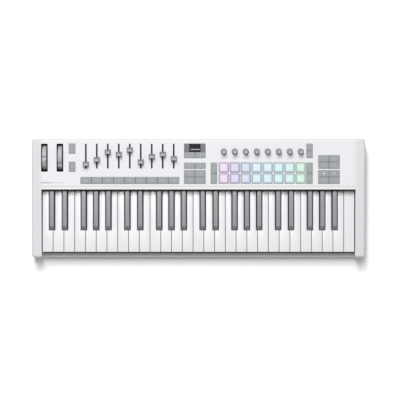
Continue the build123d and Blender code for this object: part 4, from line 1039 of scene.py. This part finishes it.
screw_sizes = {
    "Head radius": float(head_radius),
    "Head height": float(head_height),
    "Shank radius": float(shank_radius),
    "Length": float(screw_length),
}
screws = Growth("pan_head_screws", screw_sizes)
head_inputs = {
    "Vertices": 32,
    "Radius Top": screws.given("Head radius"),
    "Radius Bottom": screws.given("Head radius") - HEAD_TAPER,
    "Depth": screws.given("Head height"),
}
head = screws.node("GeometryNodeMeshCone", {}, head_inputs)
slots = [
    screws.node("GeometryNodeMeshCube", {}, {"Size": (RECESS[i], RECESS[1 - i], RECESS[2])}) for i in (0, 1)
]
cross = screws.node("GeometryNodeMeshBoolean", {"operation": "UNION"}, {1: slots[0]})
screws.tree.links.new(slots[1].socket, cross.socket.node.inputs[1])
recessed = screws.node("GeometryNodeMeshBoolean", {"operation": "DIFFERENCE"}, {0: head, 1: cross})
shank_inputs = {"Vertices": 24, "Radius": screws.given("Shank radius"), "Depth": screws.given("Length")}
shank = screws.node("GeometryNodeMeshCylinder", {}, shank_inputs)
head_down = screws.node("ShaderNodeCombineXYZ", {}, {"Z": screws.given("Head height") * -1.0})
raised = screws.node("GeometryNodeTransform", {}, {"Geometry": recessed, "Translation": head_down})
half_down = screws.node("ShaderNodeCombineXYZ", {}, {"Z": screws.given("Length") * 0.5})
placed_shank = screws.node("GeometryNodeTransform", {}, {"Geometry": shank, "Translation": half_down})
whole = screws.node("GeometryNodeJoinGeometry", {}, {"Geometry": placed_shank})
screws.tree.links.new(raised.socket, whole.socket.node.inputs["Geometry"])
down = screws.node("ShaderNodeCombineXYZ", {}, {"Z": screws.given("Length") * -1.0})
seated = screws.node("GeometryNodeTransform", {}, {"Geometry": whole, "Translation": down})
spots = {"Points": screws.given("Geometry"), "Instance": seated}
screws.finish(screws.node("GeometryNodeInstanceOnPoints", {}, spots), steel_dark.material)
floor_screws = screws.grow(floor_seats, screw_sizes, Matrix.Identity(4))
board_screws = screws.grow(board_seats, screw_sizes, ON_PANEL)
all_screws = joined([floor_screws, board_screws])
piece("pan_head_screws", all_screws, [steel_dark.material], "case", ["case_screws"])


# ---- Inside the case ------------------------------------------------------------------------------
# What shows through the gaps and at the back: black plastic for the chassis, the bracket, the fader
# covers and two sockets, green boards, red felt under the keys and, along the panel's front edge,
# felt painted black as the shadow under that edge, dark rubber domes and feet, and steel springs,
# encoders and computer port.

TRACKS_PER_METRE = 260.0
TRACK_WIDTH = 0.12

inner_black = moulded("inner_black", shade(8, 8, 9), shade(13, 13, 14), 0.0008, 0.00002, 0.85)
board_green = Finish("board_green", Roughness=0.35, Coat_Weight=0.3)
cells = {"Vector": board_green.place, "Scale": TRACKS_PER_METRE}
tracks = board_green.node("ShaderNodeTexVoronoi", {"feature": "DISTANCE_TO_EDGE"}, cells) < TRACK_WIDTH
board_green.drive("Base Color", board_green.between(tracks, shade(18, 58, 40), shade(34, 92, 62)))
felt = Finish("key_felt", Roughness=0.97)
# Painted shadow: the felt above the key tops, under the panel's front edge, is black.
above = felt.z > KEY_TOP
fibres = felt.speckle(0.0006, 4.0)
red = felt.between(fibres, shade(112, 28, 32), shade(138, 42, 44))
black = felt.between(fibres, shade(4, 4, 5), shade(14, 14, 15))
felt.drive("Base Color", felt.between(above, red, black))
felt.bump(fibres, 0.0002)
dark_rubber = moulded("dark_rubber", shade(34, 34, 36), shade(42, 42, 44), 0.0006, 0.00004, 0.8)

for node in ("key_chassis", "wheel_bracket", "fader_bodies", "display_module", "midi_socket", "pedal_socket"):
    dress(node, inner_black.material)
for node in ("panel_board", "key_contact_board"):
    dress(node, board_green.material)
for node in ("encoder_bodies", "key_springs", "usb_socket"):
    dress(node, steel.material)
dress("key_stop_felts", felt.material)
for node in ("key_contact_domes", "rubber_feet"):
    dress(node, dark_rubber.material)
